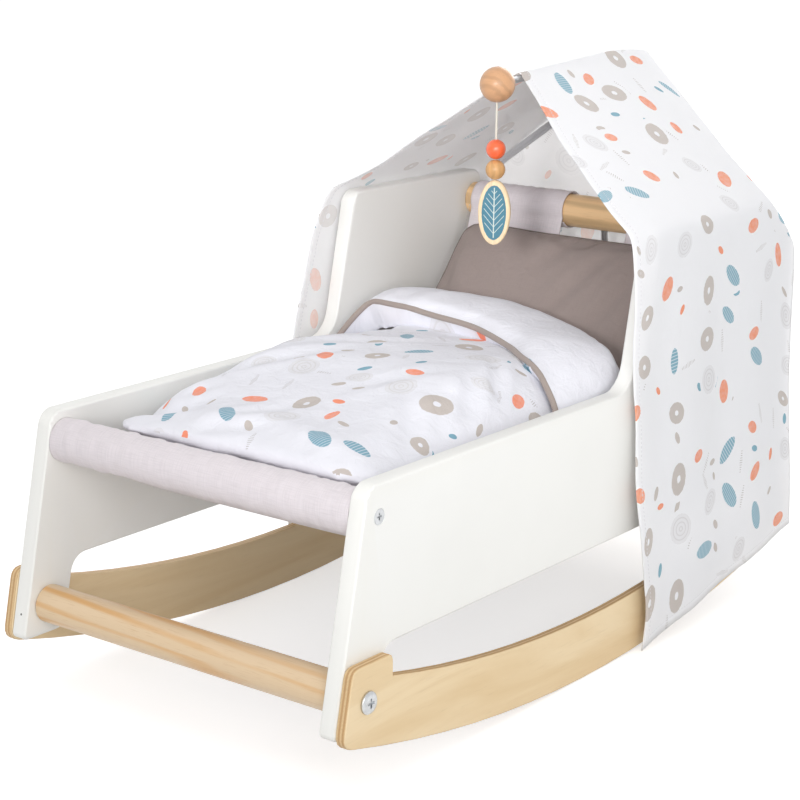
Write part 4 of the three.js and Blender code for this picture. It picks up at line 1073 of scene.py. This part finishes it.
def duvet_flap_ring(section):
    """Closed side view of the folded end: under its free edge, round it and back over the top."""
    y = np.linspace(section.flap_y + 5, section.crest_y - 2, FLAP_UNDER_POINTS)
    top = section.flap_top(y)
    clearance = top[0] - float(section.over(section.flap_y))
    thick = min(max(clearance * 1.05, 9), 40)
    thickness = thick + (10 - thick) * np.clip((y - y[0]) / 50, 0, 1)
    under = (top - thickness)[::-1]
    lip = [
        [section.flap_y + 6.5, top[0] - thick * 0.92], [section.flap_y + 3.5, top[0] - thick * 0.5],
        [section.flap_y + 0.4, top[0] - thick * 0.12],
    ]
    rear = [[section.crest_y + 2, section.crest_z - 4], [section.crest_y, section.crest_z - 9]]
    return np.vstack([np.c_[y[::-1], under], lip, np.c_[y, top], rear])


def pillow_flat(u, v):
    """Place on the pillow's middle, with its sides drawn in a little and its corners rounded."""
    corner = 8 * (u * v) ** 10
    x = (PILLOW_WIDTH / 2 - 0.5) * u * (1 - 0.04 * (1 - v ** 2)) - corner * np.sign(u)
    y = (PILLOW_LENGTH / 2 + 1.5) * v * (1 - 0.02 * (1 - u ** 2)) - corner * np.sign(v)
    return x, y


def pillow_place(local):
    """Points of the pillow's own lying frame, as it leans in the cradle."""
    return np.array(local) @ np.array(PILLOW_TURN).T + np.array(PILLOW_CENTRE)


def shell_mesh(name, xs, rings, is_plain):
    """A closed form through rings that lie in planes across X, with its cloth map. The faces from a ring's
    marked points on are of plain cloth, the second material."""
    count = len(is_plain)
    points = np.stack([np.c_[np.full(count, x), ring] for x, ring in zip(xs, rings)])
    steps = np.linalg.norm(np.diff(points[..., [0, 2]], axis=0), axis=-1)
    across = np.cumsum(np.vstack([np.zeros(count), steps]), axis=0)
    flats = np.stack([across - across[len(rings) // 2], points[..., 1]], -1)
    index = np.arange(len(rings) * count).reshape(-1, count)
    after = np.roll(index, -1, axis=1)
    quads = np.stack([index[:-1], after[:-1], after[1:], index[1:]], -1).reshape(-1, 4)
    ends = [index[0].tolist(), index[-1, ::-1].tolist()]
    mesh = bpy.data.meshes.new(name)
    mesh.from_pydata(points.reshape(-1, 3) * MM, [], [*quads.tolist(), *ends])
    set_cloth_map(mesh, flats.reshape(-1, 2) * MM)
    material_indices = np.r_[np.tile(is_plain, len(rings) - 1), 0, 0]
    mesh.polygons.foreach_set("material_index", material_indices.astype(np.int32))
    work = bmesh.new()
    work.from_mesh(mesh)
    bmesh.ops.recalc_face_normals(work, faces=work.faces)
    work.to_mesh(mesh)
    work.free()
    return mesh


def stuffed(name, pattern, voxel, pressure, cap, shrink, frames=20):
    """A stuffed form: the pattern in even cloth, drawn in a little, then swelled by a short simulation and
    held within a cap."""
    piece = modified(new_piece(name, pattern.copy()), "REMESH", mode="VOXEL", voxel_size=voxel)
    rest = vertex_values(piece.data, "co")
    drawn_in = rest - vertex_values(piece.data, "normal") * shrink
    piece.data.vertices.foreach_set("co", drawn_in.ravel())
    scene = bpy.context.scene
    scene.frame_set(1)
    cover = piece.modifiers.new("cover", "CLOTH")
    for setting, value in (
        ("quality", 5), ("mass", 0.3), ("tension_stiffness", 15), ("compression_stiffness", 15),
        ("bending_stiffness", 0.5), ("use_pressure", True), ("uniform_pressure_force", pressure),
    ):
        setattr(cover.settings, setting, value)
    cover.settings.effector_weights.gravity = 0
    cover.collision_settings.use_collision = False
    cover.collision_settings.use_self_collision = False
    cover.point_cache.frame_start = 1
    cover.point_cache.frame_end = frames
    for step in range(1, frames + 1):
        scene.frame_set(step)
    graph = bpy.context.evaluated_depsgraph_get()
    move = vertex_values(piece.evaluated_get(graph).data, "co") - rest
    piece.modifiers.clear()
    scene.frame_set(1)
    far = np.linalg.norm(move, axis=1, keepdims=True)
    move *= np.minimum(1, cap / np.maximum(far, 1e-9))
    piece.data.vertices.foreach_set("co", (rest + move).ravel())
    return modified(piece, "SUBSURF", levels=1, render_levels=1)


def shares_in(triangle, point):
    """How much each corner of a triangle counts at a point in it."""
    a, b, c = triangle
    ab, ac, ap = b - a, c - a, point - a
    d = [ab @ ab, ab @ ac, ac @ ac, ap @ ab, ap @ ac]
    below = max(d[0] * d[2] - d[1] * d[1], 1e-18)
    v, w = (d[2] * d[3] - d[1] * d[4]) / below, (d[0] * d[4] - d[1] * d[3]) / below
    return np.array([1 - v - w, v, w])


def carry_cloth_map(piece, pattern, *materials):
    """Gives a remeshed piece the cloth map and materials of the nearest places on its pattern."""
    pattern.calc_loop_triangles()
    places = vertex_values(pattern, "co")
    flats = np.zeros(len(pattern.loops) * 2)
    pattern.uv_layers["cloth"].data.foreach_get("uv", flats)
    flats = flats.reshape(-1, 2)
    triangles = [tuple(t.vertices) for t in pattern.loop_triangles]
    loops = [tuple(t.loops) for t in pattern.loop_triangles]
    source = [t.material_index for t in pattern.loop_triangles]
    tree = BVHTree.FromPolygons([Vector(p) for p in places], triangles)
    mesh = piece.data
    set_materials(mesh, *materials)
    found = []
    for vertex in mesh.vertices:
        near, _, triangle, _ = tree.find_nearest(vertex.co)
        shares = shares_in(places[list(triangles[triangle])], np.array(near))
        found.append(shares @ flats[list(loops[triangle])])
    set_cloth_map(mesh, np.array(found))
    chosen = [source[tree.find_nearest(face.center)[2]] for face in mesh.polygons]
    mesh.polygons.foreach_set("material_index", np.array(chosen, np.int32))
    mesh.shade_smooth()


def crease(mesh, lines, seed, swell=0.8, grain=22.0):
    """Presses soft creases (start, end, width, depth in millimetres) and a light crumple into a mesh."""
    points, normals = vertex_values(mesh, "co") / MM, vertex_values(mesh, "normal")
    move = ripple(points, grain, seed) * swell + ripple(points, grain * 0.42, seed + 9) * swell * 0.35
    for start, end, width, depth in lines:
        start = np.array(start, float)
        run = np.array(end, float) - start
        along = np.clip(((points - start) @ run) / (run @ run), 0, 1)
        away = np.linalg.norm(points - (start + along[:, None] * run), axis=1) / width
        fade = np.sin(np.pi * np.clip(along, 0.04, 0.96)) ** 0.6
        move += depth * fade * (0.55 * np.exp(-((away - 1.5) / 0.8) ** 2) - np.exp(-away ** 2))
    points = points + normals * move[:, None]
    mesh.vertices.foreach_set("co", (points * MM).ravel())
    mesh.update()


def on_surface(piece, line, out):
    """The nearest places on a piece to a line of points in millimetres, moved out along the surface."""
    work = bmesh.new()
    work.from_mesh(piece.data)
    tree = BVHTree.FromBMesh(work)
    work.free()
    found = []
    for point in line:
        near, normal, _, _ = tree.find_nearest(Vector(point) * MM)
        found.append((near + normal * out * MM) / MM)
    found = np.array(found)
    for _ in range(3):
        found[1:-1] = (found[:-2] + 2 * found[1:-1] + found[2:]) / 4
    return found


# Operators

class CRADLE_OT_stage(bpy.types.Operator):
    """Set the camera, the lamps, the sky and the floor"""

    bl_idname = "cradle.stage"
    bl_label = "Stage"

    def execute(self, context):
        scene, look = context.scene, context.scene.cradle_stage
        scene.view_settings.view_transform = "Standard"
        self.set_camera(scene)
        for name, place, aim, width, watts in (
            ("main_lamp", (0.6, -0.8, 2.6), (0, 0, 0.15), 1.8, look.key_power),
            ("side_lamp", (-2.2, -1.2, 1.6), (0, 0, 0.2), 1.6, look.side_power),
            ("front_lamp", (2.05, -1.8, 1.05), (0, 0.1, 0.25), 1.6, look.front_power),
            ("back_lamp", (-0.5, 2.6, 1.2), (0, 0.2, 0.2), 1.8, look.back_power),
        ):
            self.set_lamp(name, "AREA", place, aim, energy=watts, shape="DISK", size=width)
        self.set_lamp(
            "mouth_lamp", "SPOT", (0.8, -1.9, 0.75), (-0.035, 0.16, 0.275), energy=look.mouth_power,
            shadow_soft_size=0.2, spot_size=math.radians(12), spot_blend=1.0,
        )
        self.set_sky(scene, look.sky)
        self.lay_floor(look.floor)
        return {"FINISHED"}

    def set_camera(self, scene):
        yaw, pitch, roll = CAMERA_YAW, CAMERA_PITCH, CAMERA_ROLL
        level = math.cos(pitch)
        forward = Vector((-math.sin(yaw) * level, math.cos(yaw) * level, -math.sin(pitch)))
        right = Vector((math.cos(yaw), math.sin(yaw), 0))
        up = right.cross(forward)
        turned_right = right * math.cos(roll) + up * math.sin(roll)
        turned_up = up * math.cos(roll) - right * math.sin(roll)
        lens = bpy.data.cameras.new("camera")
        lens.sensor_width = 36
        lens.lens = LENS_PIXELS / FRAME_PIXELS * lens.sensor_width
        lens.clip_start, lens.clip_end = 0.05, 60
        camera = new_piece("camera", lens)
        turn = Matrix((turned_right, turned_up, -forward)).transposed()
        camera.matrix_world = Matrix.Translation(CAMERA_PLACE) @ turn.to_4x4()
        scene.camera = camera

    def set_lamp(self, name, kind, place, aim, **settings):
        light = bpy.data.lights.new(name, kind)
        for key, value in settings.items():
            setattr(light, key, value)
        lamp = new_piece(name, light)
        lamp.location = place
        lamp.rotation_euler = (Vector(aim) - Vector(place)).to_track_quat("-Z", "Y").to_euler()

    def set_sky(self, scene, strength):
        """An even light that is seen as plain white, straight and in mirrors."""
        scene.world = bpy.data.worlds.new("sky")
        scene.world.use_nodes = True
        made = Nodes(scene.world.node_tree)
        rays = ("Is Camera Ray", "Is Glossy Ray", "Is Transmission Ray")
        straight, mirrored, through = made.node("ShaderNodeLightPath", (), rays)
        is_seen = made.maths("MAXIMUM", made.maths("MAXIMUM", straight, mirrored), through)
        lit = made.node("ShaderNodeBackground", {"Color": (1, 1, 1), "Strength": strength})
        seen = made.node("ShaderNodeBackground", {"Color": (1, 1, 1), "Strength": 1.0})
        sky = made.node("ShaderNodeMixShader", (is_seen, lit, seen))
        made.put(made.add("ShaderNodeOutputWorld").inputs[0], sky)

    def lay_floor(self, tone):
        """A matt floor, lifted a little where it is seen, so that it stays almost white."""
        mesh = bpy.data.meshes.new("floor")
        mesh.from_pydata([(-30, -30, 0), (30, -30, 0), (30, 30, 0), (-30, 30, 0)], [], [(0, 1, 2, 3)])
        material = bpy.data.materials.new("pale_floor")
        material.use_nodes = True
        made = Nodes(material.node_tree)
        straight, mirrored = made.node("ShaderNodeLightPath", (), ("Is Camera Ray", "Is Glossy Ray"))
        matt = made.node("ShaderNodeBsdfDiffuse", {"Color": dimmed(tone, 0.8)})
        lift = made.node("ShaderNodeEmission", {"Strength": made.maths("MAXIMUM", straight, mirrored) * 0.55})
        both = made.node("ShaderNodeAddShader", (matt, lift))
        made.put(made.add("ShaderNodeOutputMaterial").inputs[0], both)
        floor = new_piece("floor", mesh, material)
        floor.location.z = -0.0003


class CRADLE_OT_mobile_string(bpy.types.Operator):
    """Hang the mobile's string below the ball, through the beads into the pendant"""

    bl_idname = "cradle.mobile_string"
    bl_label = "Mobile string"

    def execute(self, context):
        mobile = context.scene.cradle_mobile
        heights = np.linspace(STRING_TOP, STRING_END, mobile.string_points)
        line = joined(0, MOBILE_Y, heights) / MM
        curve = line_curve("mobile_cord", [line], mobile.string_diameter / 2)
        cord = new_piece("mobile_cord", curve, string_finish(mobile))
        settle(cord, "hanging_string", "string", "mobile_string", "mobile_string_neck")
        return {"FINISHED"}


class CRADLE_OT_wood(bpy.types.Operator):
    """Finish the panels, rockers, dowels, rails, ball and beads"""

    bl_idname = "cradle.wood"
    bl_label = "Wooden parts"

    def execute(self, context):
        wood, mobile = context.scene.cradle_wood, context.scene.cradle_mobile
        lacquer, ply = lacquer_finish(wood), plywood_finish(wood)
        for side in ("left", "right"):
            dressed(f"{side}_side_panel", f"{side}_panel_board", lacquer, 50)
            dressed(f"{side}_rocker", f"{side}_rocker_bow", ply, 50)
        pine = turned_wood_finish("pine_round", wood.pine, wood.pine_streak, 3.2, gloss=0.4)
        # The upper rails take a warmer copy of the pine: painted warm shade from under the canopy
        painted_shade_pine = turned_wood_finish("rail_round", wood.rail, dimmed(wood.rail, 0.72), 3.2, gloss=0.4)
        for kind, finish in (("lower_dowel", pine), ("upper_rail", painted_shade_pine)):
            for end in ("front", "rear"):
                dressed(f"{end}_{kind}", f"{end}_{kind}_round", finish, 40)
        beech = turned_wood_finish(
            "beech_ball", wood.beech, dimmed(wood.beech, 0.84), 5.0, (0, MOBILE_Y, BALL_HEIGHT), "X", 0.32,
        )
        dressed("pole_ball", "ball_turned", beech, 40)
        natural = turned_wood_finish(
            "beech_bead", wood.bead_wood, dimmed(wood.bead_wood, 0.86), 7.0,
            (0, MOBILE_Y, NATURAL_BEAD_HEIGHT), "Z", 0.36,
        )
        lower = dressed("natural_bead", "natural_bead_turned", natural, 40)
        upper = dressed("orange_bead", "orange_bead_turned", bead_paint_finish(wood), 40)
        low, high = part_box("leaf_pendant")
        face = pendant_finish(wood, tuple((low + high) / 2), math.radians(25))
        pendant = dressed("leaf_pendant", "pendant_disc", face, 30)
        return {"FINISHED"}


class CRADLE_OT_metal(bpy.types.Operator):
    """Finish the bolts, the screws and the canopy pole"""

    bl_idname = "cradle.metal"
    bl_label = "Metal parts"

    def execute(self, context):
        wood = context.scene.cradle_wood
        zinc = metal_finish("bright_zinc", wood.zinc, (900, 2400, 2400), 0.22, 0.42)
        for side in ("left", "right"):
            for end in ("front", "rear"):
                for kind, name in (("rocker_bolt", "bolt"), ("rail_screw", "screw")):
                    dressed(f"{side}_{end}_{kind}", f"{side}_{end}_{name}", zinc, 35)
        steel = metal_finish("drawn_steel", wood.steel, (3000, 3000, 160), 0.3, 0.45)
        dressed("canopy_pole", "pole_rod", steel, 40)
        return {"FINISHED"}


class CRADLE_OT_canopy(bpy.types.Operator):
    """Drape the canopy over the pole and the panels, with its back wall, hems and seams"""

    bl_idname = "cradle.canopy"
    bl_label = "Canopy"

    def execute(self, context):
        cloth = context.scene.cradle_cloth
        points, outward = canopy_grid()
        across = run_along(points.mean(axis=0))
        flat = joined(across, points[..., 1])
        outside = cloth_finish("canopy_print", cloth.white, cloth, printed=True, glow=0.3)
        inside = cloth_finish("canopy_reverse", cloth.inner, cloth, printed=True, fade=0.38, glow=0.6)
        mesh = grid_mesh("canopy_cloth_sheet", points, flat)
        if mesh.polygons[len(mesh.polygons) // 2].normal.z < 0:
            mesh.flip_normals()
        canopy = give_thickness(new_piece("canopy_sheet", mesh, outside, inside), cloth.canopy_thickness, 1)
        settle(canopy, "canopy_cloth", "printed_cloth", "canopy")

        grid = self.wall_grid()
        wall_mesh = grid_mesh("canopy_wall_sheet", grid, grid[..., [0, 2]])
        wall = give_thickness(new_piece("canopy_back_wall", wall_mesh, inside), cloth.canopy_thickness)
        settle(wall, "canopy_cloth", "printed_cloth")
        seam, band = self.rear_seam(catmull(grid[-1, 1:-1], 3), cloth)
        hems = self.hems(points, outward, cloth)
        return {"FINISHED"}

    def wall_grid(self):
        """Middle of the gable of plain-hung cloth just inside the rear edge, from its hem up."""
        columns = np.linspace(-1, 1, 57)
        rows = np.linspace(0, 1, 60)
        eave = np.where(columns < 0, eave_height(-1, WALL_Y), eave_height(1, WALL_Y))
        ridge = ridge_height(WALL_Y)
        top = ridge + (eave - ridge) * np.abs(columns) + WALL_ABOVE_EAVE
        grid = np.zeros((len(rows), len(columns), 3))
        for i, up in enumerate(rows):
            height = WALL_HEM + (top - WALL_HEM) * up
            drop = np.clip((eave - height) / (eave - HEM_REAR), 0, 1)
            half = PANEL_OUTER - 0.3 + (CANOPY_FLARE * eased(FLARE_SHARES, drop)) * 0.82
            billow = 2.2 * np.sin(np.pi * up) * np.cos(np.pi * columns / 2)
            grid[i] = joined(columns * half, WALL_Y - billow, height)
        flutter = np.sin(grid[..., 0] / 13) * (1 - rows[:, None]) ** 1.5
        grid[..., 1] += ripple(grid, 60, 5.5) * 1.4 + 1.2 * flutter
        return grid

    def rear_seam(self, edge, cloth):
        """Seam allowance along the back wall's upper edge, with overlock stitches over it."""
        drops = np.linspace(0.6, 8.0, 6)
        grid = np.stack([edge - [0, 0.95 + 0.25 * math.sin(2 * drop), drop] for drop in drops])
        flat = joined(run_along(grid[0]), grid[..., 2])
        tape = cloth_finish("seam_tape", cloth.overlock, cloth, glow=0.5)
        band = new_piece("canopy_seam_band", grid_mesh("canopy_seam_band", grid, flat), tape)
        band = settle(give_thickness(band, 0.0006), "canopy_cloth", "printed_cloth")
        thread = thread_finish("overlock_thread", dimmed(cloth.overlock, 0.9))
        seam = stitch_rows(
            "canopy_overlock", [grid[3] - [0, 0.45, 0]], thread, "canopy_cloth", "printed_cloth",
            length_share=2.6, thread=0.0004, slant=math.radians(68), pitch=0.0024,
        )
        return seam, band

    def hems(self, points, outward, cloth):
        """Stitch lines along the front hem and the two lower hems, outside and in."""
        rows, columns = points.shape[:2]
        width = cloth.hem_width / MM - 1
        lift = cloth.canopy_thickness / MM / 2 + 0.12
        row = np.arange(2, rows - 1, dtype=float)
        reach = points[-1, 1:-1, 1] - points[0, 1:-1, 1]
        places = [((rows - 1) * width / reach, np.arange(1, columns - 1, dtype=float))]
        for edge, inwards in ((0, 1), (columns - 1, -1)):
            step = np.linalg.norm(points[0, edge] - points[0, edge + inwards])
            places.append((row, np.full(len(row), edge + inwards * width / step)))
        lines = [
            line_on(points, *place) + side * lift * line_on(outward, *place)
            for place in places for side in (1, -1)
        ]
        thread = thread_finish("canopy_thread", cloth.thread)
        return stitch_rows("canopy_hem_stitches", lines, thread, "canopy_cloth", "printed_cloth")


class CRADLE_OT_sling(bpy.types.Operator):
    """Stretch the sling between the rails, with its tunnel and loops"""

    bl_idname = "cradle.sling"
    bl_label = "Sling"

    def execute(self, context):
        cloth = context.scene.cradle_cloth
        tunnel = [ring_point(FOOT_RAIL, SLING_RADIUS, a) for a in np.linspace(-409, -65, 60)]
        loops = [ring_point(HEAD_RAIL, SLING_RADIUS, a) for a in np.linspace(200, -142, 60)]
        line = np.vstack([tunnel[:-1], BED_LINE, loops[1:]])
        last_bed = len(tunnel) - 2 + len(BED_LINE)
        xs = np.unique(np.round(np.r_[
            np.linspace(-SLING_HALF, -LOOP_OUTER, 6), np.linspace(-LOOP_OUTER, -LOOP_INNER, 56),
            np.linspace(-LOOP_INNER, LOOP_INNER, 26), np.linspace(LOOP_INNER, LOOP_OUTER, 56),
            np.linspace(LOOP_OUTER, SLING_HALF, 6),
        ], 3))
        points = joined(xs, line[:, :1], line[:, 1:])
        flat = joined(xs, run_along(line)[:, None])
        self.gather(points, line, xs, len(tunnel), last_bed)
        mesh = grid_mesh("sling_sheet", points, flat, self.kept_quads(line, xs))
        plain = cloth_finish("sling_cotton", cloth.sling, cloth, glow=0.2, crumple=0.0006, streaks=0.4)
        sling = give_thickness(new_piece("sling_cloth", mesh, plain), cloth.sling_thickness)
        settle(sling, "frame", "plain_cloth", "sling")
        sewn = self.stitches(line, len(tunnel) + 6, last_bed - 3, cloth)
        return {"FINISHED"}

    def gather(self, points, line, xs, tunnel_rows, last_bed):
        """Gathers round both rails, the bed's sag and its slack behind the tunnel."""
        row = np.arange(len(line))
        on_tunnel, on_loop = row < tunnel_rows, row >= last_bed
        ringed = (on_tunnel | on_loop)[:, None]
        gathers = np.abs(np.sin(xs / 4.3 + 2.2 * np.sin(xs / 17)) * np.sin(xs / 9.7 + 0.6)) ** 1.4
        fine = ripple(points * [1, 0.25, 0.25], 5.5, 2.0)
        slant = ripple(points @ np.array([[1, 0.5, 0.5], [0, 0.3, 0], [0, 0, 0.3]]), 6.5, 4.0)
        rise = 0.3 * gathers + 0.8 * np.maximum(fine, -0.2) + 0.85 * np.maximum(slant, -0.2) + 0.3
        away = points - np.where(on_tunnel[:, None, None], [0, *FOOT_RAIL], [0, *HEAD_RAIL])
        away[..., 0] = 0
        away /= np.maximum(np.linalg.norm(away, axis=-1, keepdims=True), 1e-9)
        points += away * np.where(ringed, rise * 0.9, 0)[..., None]
        share = np.clip((line[:, :1] - FOOT_RAIL[0]) / (HEAD_RAIL[0] - FOOT_RAIL[0]), 0, 1)
        sag = 0.5 * np.sin(np.pi * share) * np.cos(xs / SLING_HALF * np.pi / 2)
        slack = 9.0 * np.exp(-((share - 0.09) / 0.065) ** 2) * (1 - (xs / SLING_HALF) ** 8)
        points[..., 2] -= np.where(ringed, 0, sag + slack)
        points[on_tunnel, :, 0] *= 1.015

    def kept_quads(self, line, xs):
        """Marks the quads that stay: beside and between the loops the cloth ends below the head rail."""
        middle_y, middle_z = ((line[:-1] + line[1:]) / 2).T
        middle_x = np.abs((xs[:-1] + xs[1:]) / 2)
        in_loop = (middle_x > LOOP_INNER) & (middle_x < LOOP_OUTER)
        at_loops = (middle_z > LOOPS_ABOVE_Z) & (middle_y > LOOPS_BEHIND_Y)
        return ~(at_loops[:, None] & ~in_loop[None])

    def stitches(self, line, tunnel_seam, loop_seam, cloth):
        """Rows along both sides of the bed, across the tunnel's seam and across the loops' ends."""
        thread = thread_finish("sling_thread", cloth.thread)
        lift = cloth.sling_thickness / MM / 2 + 0.15
        y, z = BED_LINE.T
        rows = [joined(x, y, z + lift) for x in (-SIDE_SEAM, SIDE_SEAM)]
        for side in (1, -1):
            y, z = line[tunnel_seam]
            rows.append(joined(np.linspace(-117, 117, 80), y, z + side * lift))
            y, z = line[loop_seam] + np.array([-0.95, 0.31]) * side * (lift + 0.1)
            for sign in (-1, 1):
                across = np.linspace(LOOP_INNER + 3, LOOP_OUTER - 3, 40) * sign
                rows.append(joined(across, y, z))
        return stitch_rows("sling_stitches", rows, thread, "frame", "plain_cloth")


class CRADLE_OT_duvet(bpy.types.Operator):
    """Fill the duvet, fold its head end back and pipe the fold's edge"""

    bl_idname = "cradle.duvet"
    bl_label = "Duvet"

    def execute(self, context):
        cloth = context.scene.cradle_cloth
        printed = cloth_finish("duvet_print", cloth.quilt, cloth, printed=True, crumple=0.0011)
        plain = cloth_finish("duvet_lining", cloth.quilt, cloth, crumple=0.0011)
        shares = np.sin(np.pi * (np.arange(61) / 60 - 0.5))
        sections = [DuvetSection(float(share) * 0.985) for share in shares]
        xs = shares * (DUVET_WIDTH / 2 - 1.5)
        rings = [duvet_body_ring(section) for section in sections]
        is_plain = np.arange(len(rings[0])) < BODY_UNDER_POINTS
        pattern = shell_mesh("duvet_body_pattern", xs, rings, is_plain)
        for vertex in pattern.vertices:
            towards_foot = min(max((-0.150 - vertex.co.y) / 0.065, 0), 1)
            if vertex.co.x < 0:
                vertex.co.x *= 1 - 0.15 * towards_foot ** 2
        duvet = stuffed("duvet_filled", pattern, 0.0045, 4.0, 0.004, 0.0015)
        carry_cloth_map(duvet, pattern, printed, plain)
        crease(duvet.data, DUVET_CREASES, 4.0, 0.9, 24)

        rings = [duvet_flap_ring(section) for section in sections]
        is_plain = np.arange(len(rings[0])) >= FLAP_UNDER_POINTS + 2
        pattern = shell_mesh("duvet_flap_pattern", xs, rings, is_plain)
        flap = stuffed("duvet_fold", pattern, 0.003, 3.0, 0.003, 0.0008)
        carry_cloth_map(flap, pattern, printed, plain)
        crease(flap.data, FLAP_CREASES, 8.0, 0.5, 26)

        edge = [
            [x, section.flap_y + 1.6, float(section.flap_top(section.flap_y + 5)) - 1.2]
            for x, section in zip(xs, sections)
        ]
        sides = []
        for x, section in ((xs[0], sections[0]), (xs[-1], sections[-1])):
            y = np.linspace(section.flap_y + 6, section.crest_y - 3, 16)
            sides.append(joined(x, y, section.flap_top(y) - 2))
        line = catmull(on_surface(flap, np.vstack([sides[0][::-1], edge, sides[1]]), -0.4)[::2], 4)
        tape = thread_finish("duvet_tape", cloth.piping, 0.0012)
        settle(tube("duvet_piping", line, cloth.piping_diameter / 2, tape, 5), "bed_cover", "printed_quilt")
        for piece in (duvet, flap):
            settle(piece, "bed_cover", "printed_quilt", "duvet")
        return {"FINISHED"}


class CRADLE_OT_pillow(bpy.types.Operator):
    """Fill the pillow and pipe its seam"""

    bl_idname = "cradle.pillow"
    bl_label = "Pillow"

    def execute(self, context):
        cloth = context.scene.cradle_cloth
        us, vs = (np.sin(np.pi * (np.arange(count + 1) / count - 0.5)) for count in (44, 28))
        pattern = self.pattern(us, vs)
        cotton = cloth_finish(
            "pillow_cotton", cloth.pillow, cloth, depth=0.00025, shadow=0.3, crumple=0.0006, streaks=0.3,
        )
        pillow = stuffed("pillow_filled", pattern, 0.0045, 4.0, 0.003, 0.001)
        carry_cloth_map(pillow, pattern, cotton)
        crease(pillow.data, self.creases(), 6.0, 0.55, 26)

        rim = np.array([
            *[(u, -1) for u in us], *[(1, v) for v in vs[1:]],
            *[(u, 1) for u in us[-2::-1]], *[(-1, v) for v in vs[-2:0:-1]],
        ])
        seam = pillow_place(joined(*pillow_flat(*rim.T), 0))
        line = on_surface(pillow, seam, 0.1)
        # The piping is the pillow's cotton taken down to 0.62: partly the tape's own colour, partly painted
        # shade along the seam
        tape = thread_finish("pillow_tape_painted_seam_shade", dimmed(cloth.pillow, 0.62), 0.0012)
        settle(tube("pillow_piping", line, 0.0016, tape, closed=True), "head_pillow", "taupe_cloth")
        settle(pillow, "head_pillow", "taupe_cloth", "pillow")
        return {"FINISHED"}

    def pattern(self, us, vs):
        """The pillow's two bulged halves, joined along their rim."""
        v, u = np.meshgrid(vs, us, indexing="ij")
        x, y = pillow_flat(u, v)
        swell = np.sqrt(np.clip((1 - np.abs(u) ** 3) * (1 - np.abs(v) ** 3), 0, 1))
        work = bmesh.new()
        for side in (1, -1):
            local = joined(x, y, side * (PILLOW_THICKNESS / 2 - 1) * swell)
            mesh = grid_mesh("pillow_half", pillow_place(local), local[..., :2])
            if side < 0:
                mesh.flip_normals()
            work.from_mesh(mesh)
        bmesh.ops.remove_doubles(work, verts=work.verts, dist=0.00005)
        bmesh.ops.recalc_face_normals(work, faces=work.faces)
        pattern = bpy.data.meshes.new("pillow_pattern")
        work.to_mesh(pattern)
        work.free()
        return pattern

    def creases(self):
        """Short puckers along the upper seam and the long folds of the pillow's face."""
        puckers = []
        for k, at in enumerate(np.linspace(-0.86, 0.86, 13)):
            start = (at * 110, 61, 5.0)
            end = (at * 106 + 4 * math.sin(5.1 * k), 61 - (12 + 7 * math.sin(3.7 * k)), 14.0)
            puckers.append((start, end, 3.6, 1.1))
        return [
            (pillow_place(start), pillow_place(end), width, depth)
            for start, end, width, depth in (*puckers, *PILLOW_FOLDS)
        ]


class CRADLE_PT_parts(bpy.types.Panel):
    """Lists the cradle's pieces and their settings"""

    bl_idname = "CRADLE_PT_parts"
    bl_label = "Doll Cradle"
    bl_space_type = "VIEW_3D"
    bl_region_type = "UI"
    bl_category = "Doll Cradle"

    def draw(self, context):
        for group in SETTINGS:
            box = self.layout.box()
            settings = getattr(context.scene, group)
            for name in settings.__annotations__:
                box.prop(settings, name)
        for operator in OPERATORS:
            self.layout.operator(operator.bl_idname)


SETTINGS = {
    "cradle_wood": CradleWood, "cradle_cloth": CradleCloth,
    "cradle_mobile": CradleMobile, "cradle_stage": CradleStage,
}
OPERATORS = (
    CRADLE_OT_stage, CRADLE_OT_mobile_string, CRADLE_OT_wood, CRADLE_OT_metal,
    CRADLE_OT_canopy, CRADLE_OT_sling, CRADLE_OT_duvet, CRADLE_OT_pillow,
)


def register():
    for cls in (*SETTINGS.values(), *OPERATORS, CRADLE_PT_parts):
        bpy.utils.register_class(cls)
    for name, cls in SETTINGS.items():
        setattr(bpy.types.Scene, name, PointerProperty(type=cls))


def unregister():
    for name in SETTINGS:
        delattr(bpy.types.Scene, name)
    for cls in reversed((*SETTINGS.values(), *OPERATORS, CRADLE_PT_parts)):
        bpy.utils.unregister_class(cls)


def main():
    register()
    bpy.ops.cradle.stage()
    bpy.ops.cradle.mobile_string()
    bpy.ops.cradle.wood()
    bpy.ops.cradle.metal()
    bpy.ops.cradle.canopy()
    bpy.ops.cradle.sling()
    bpy.ops.cradle.duvet()
    bpy.ops.cradle.pillow()


if __name__ == "__main__":
    main()
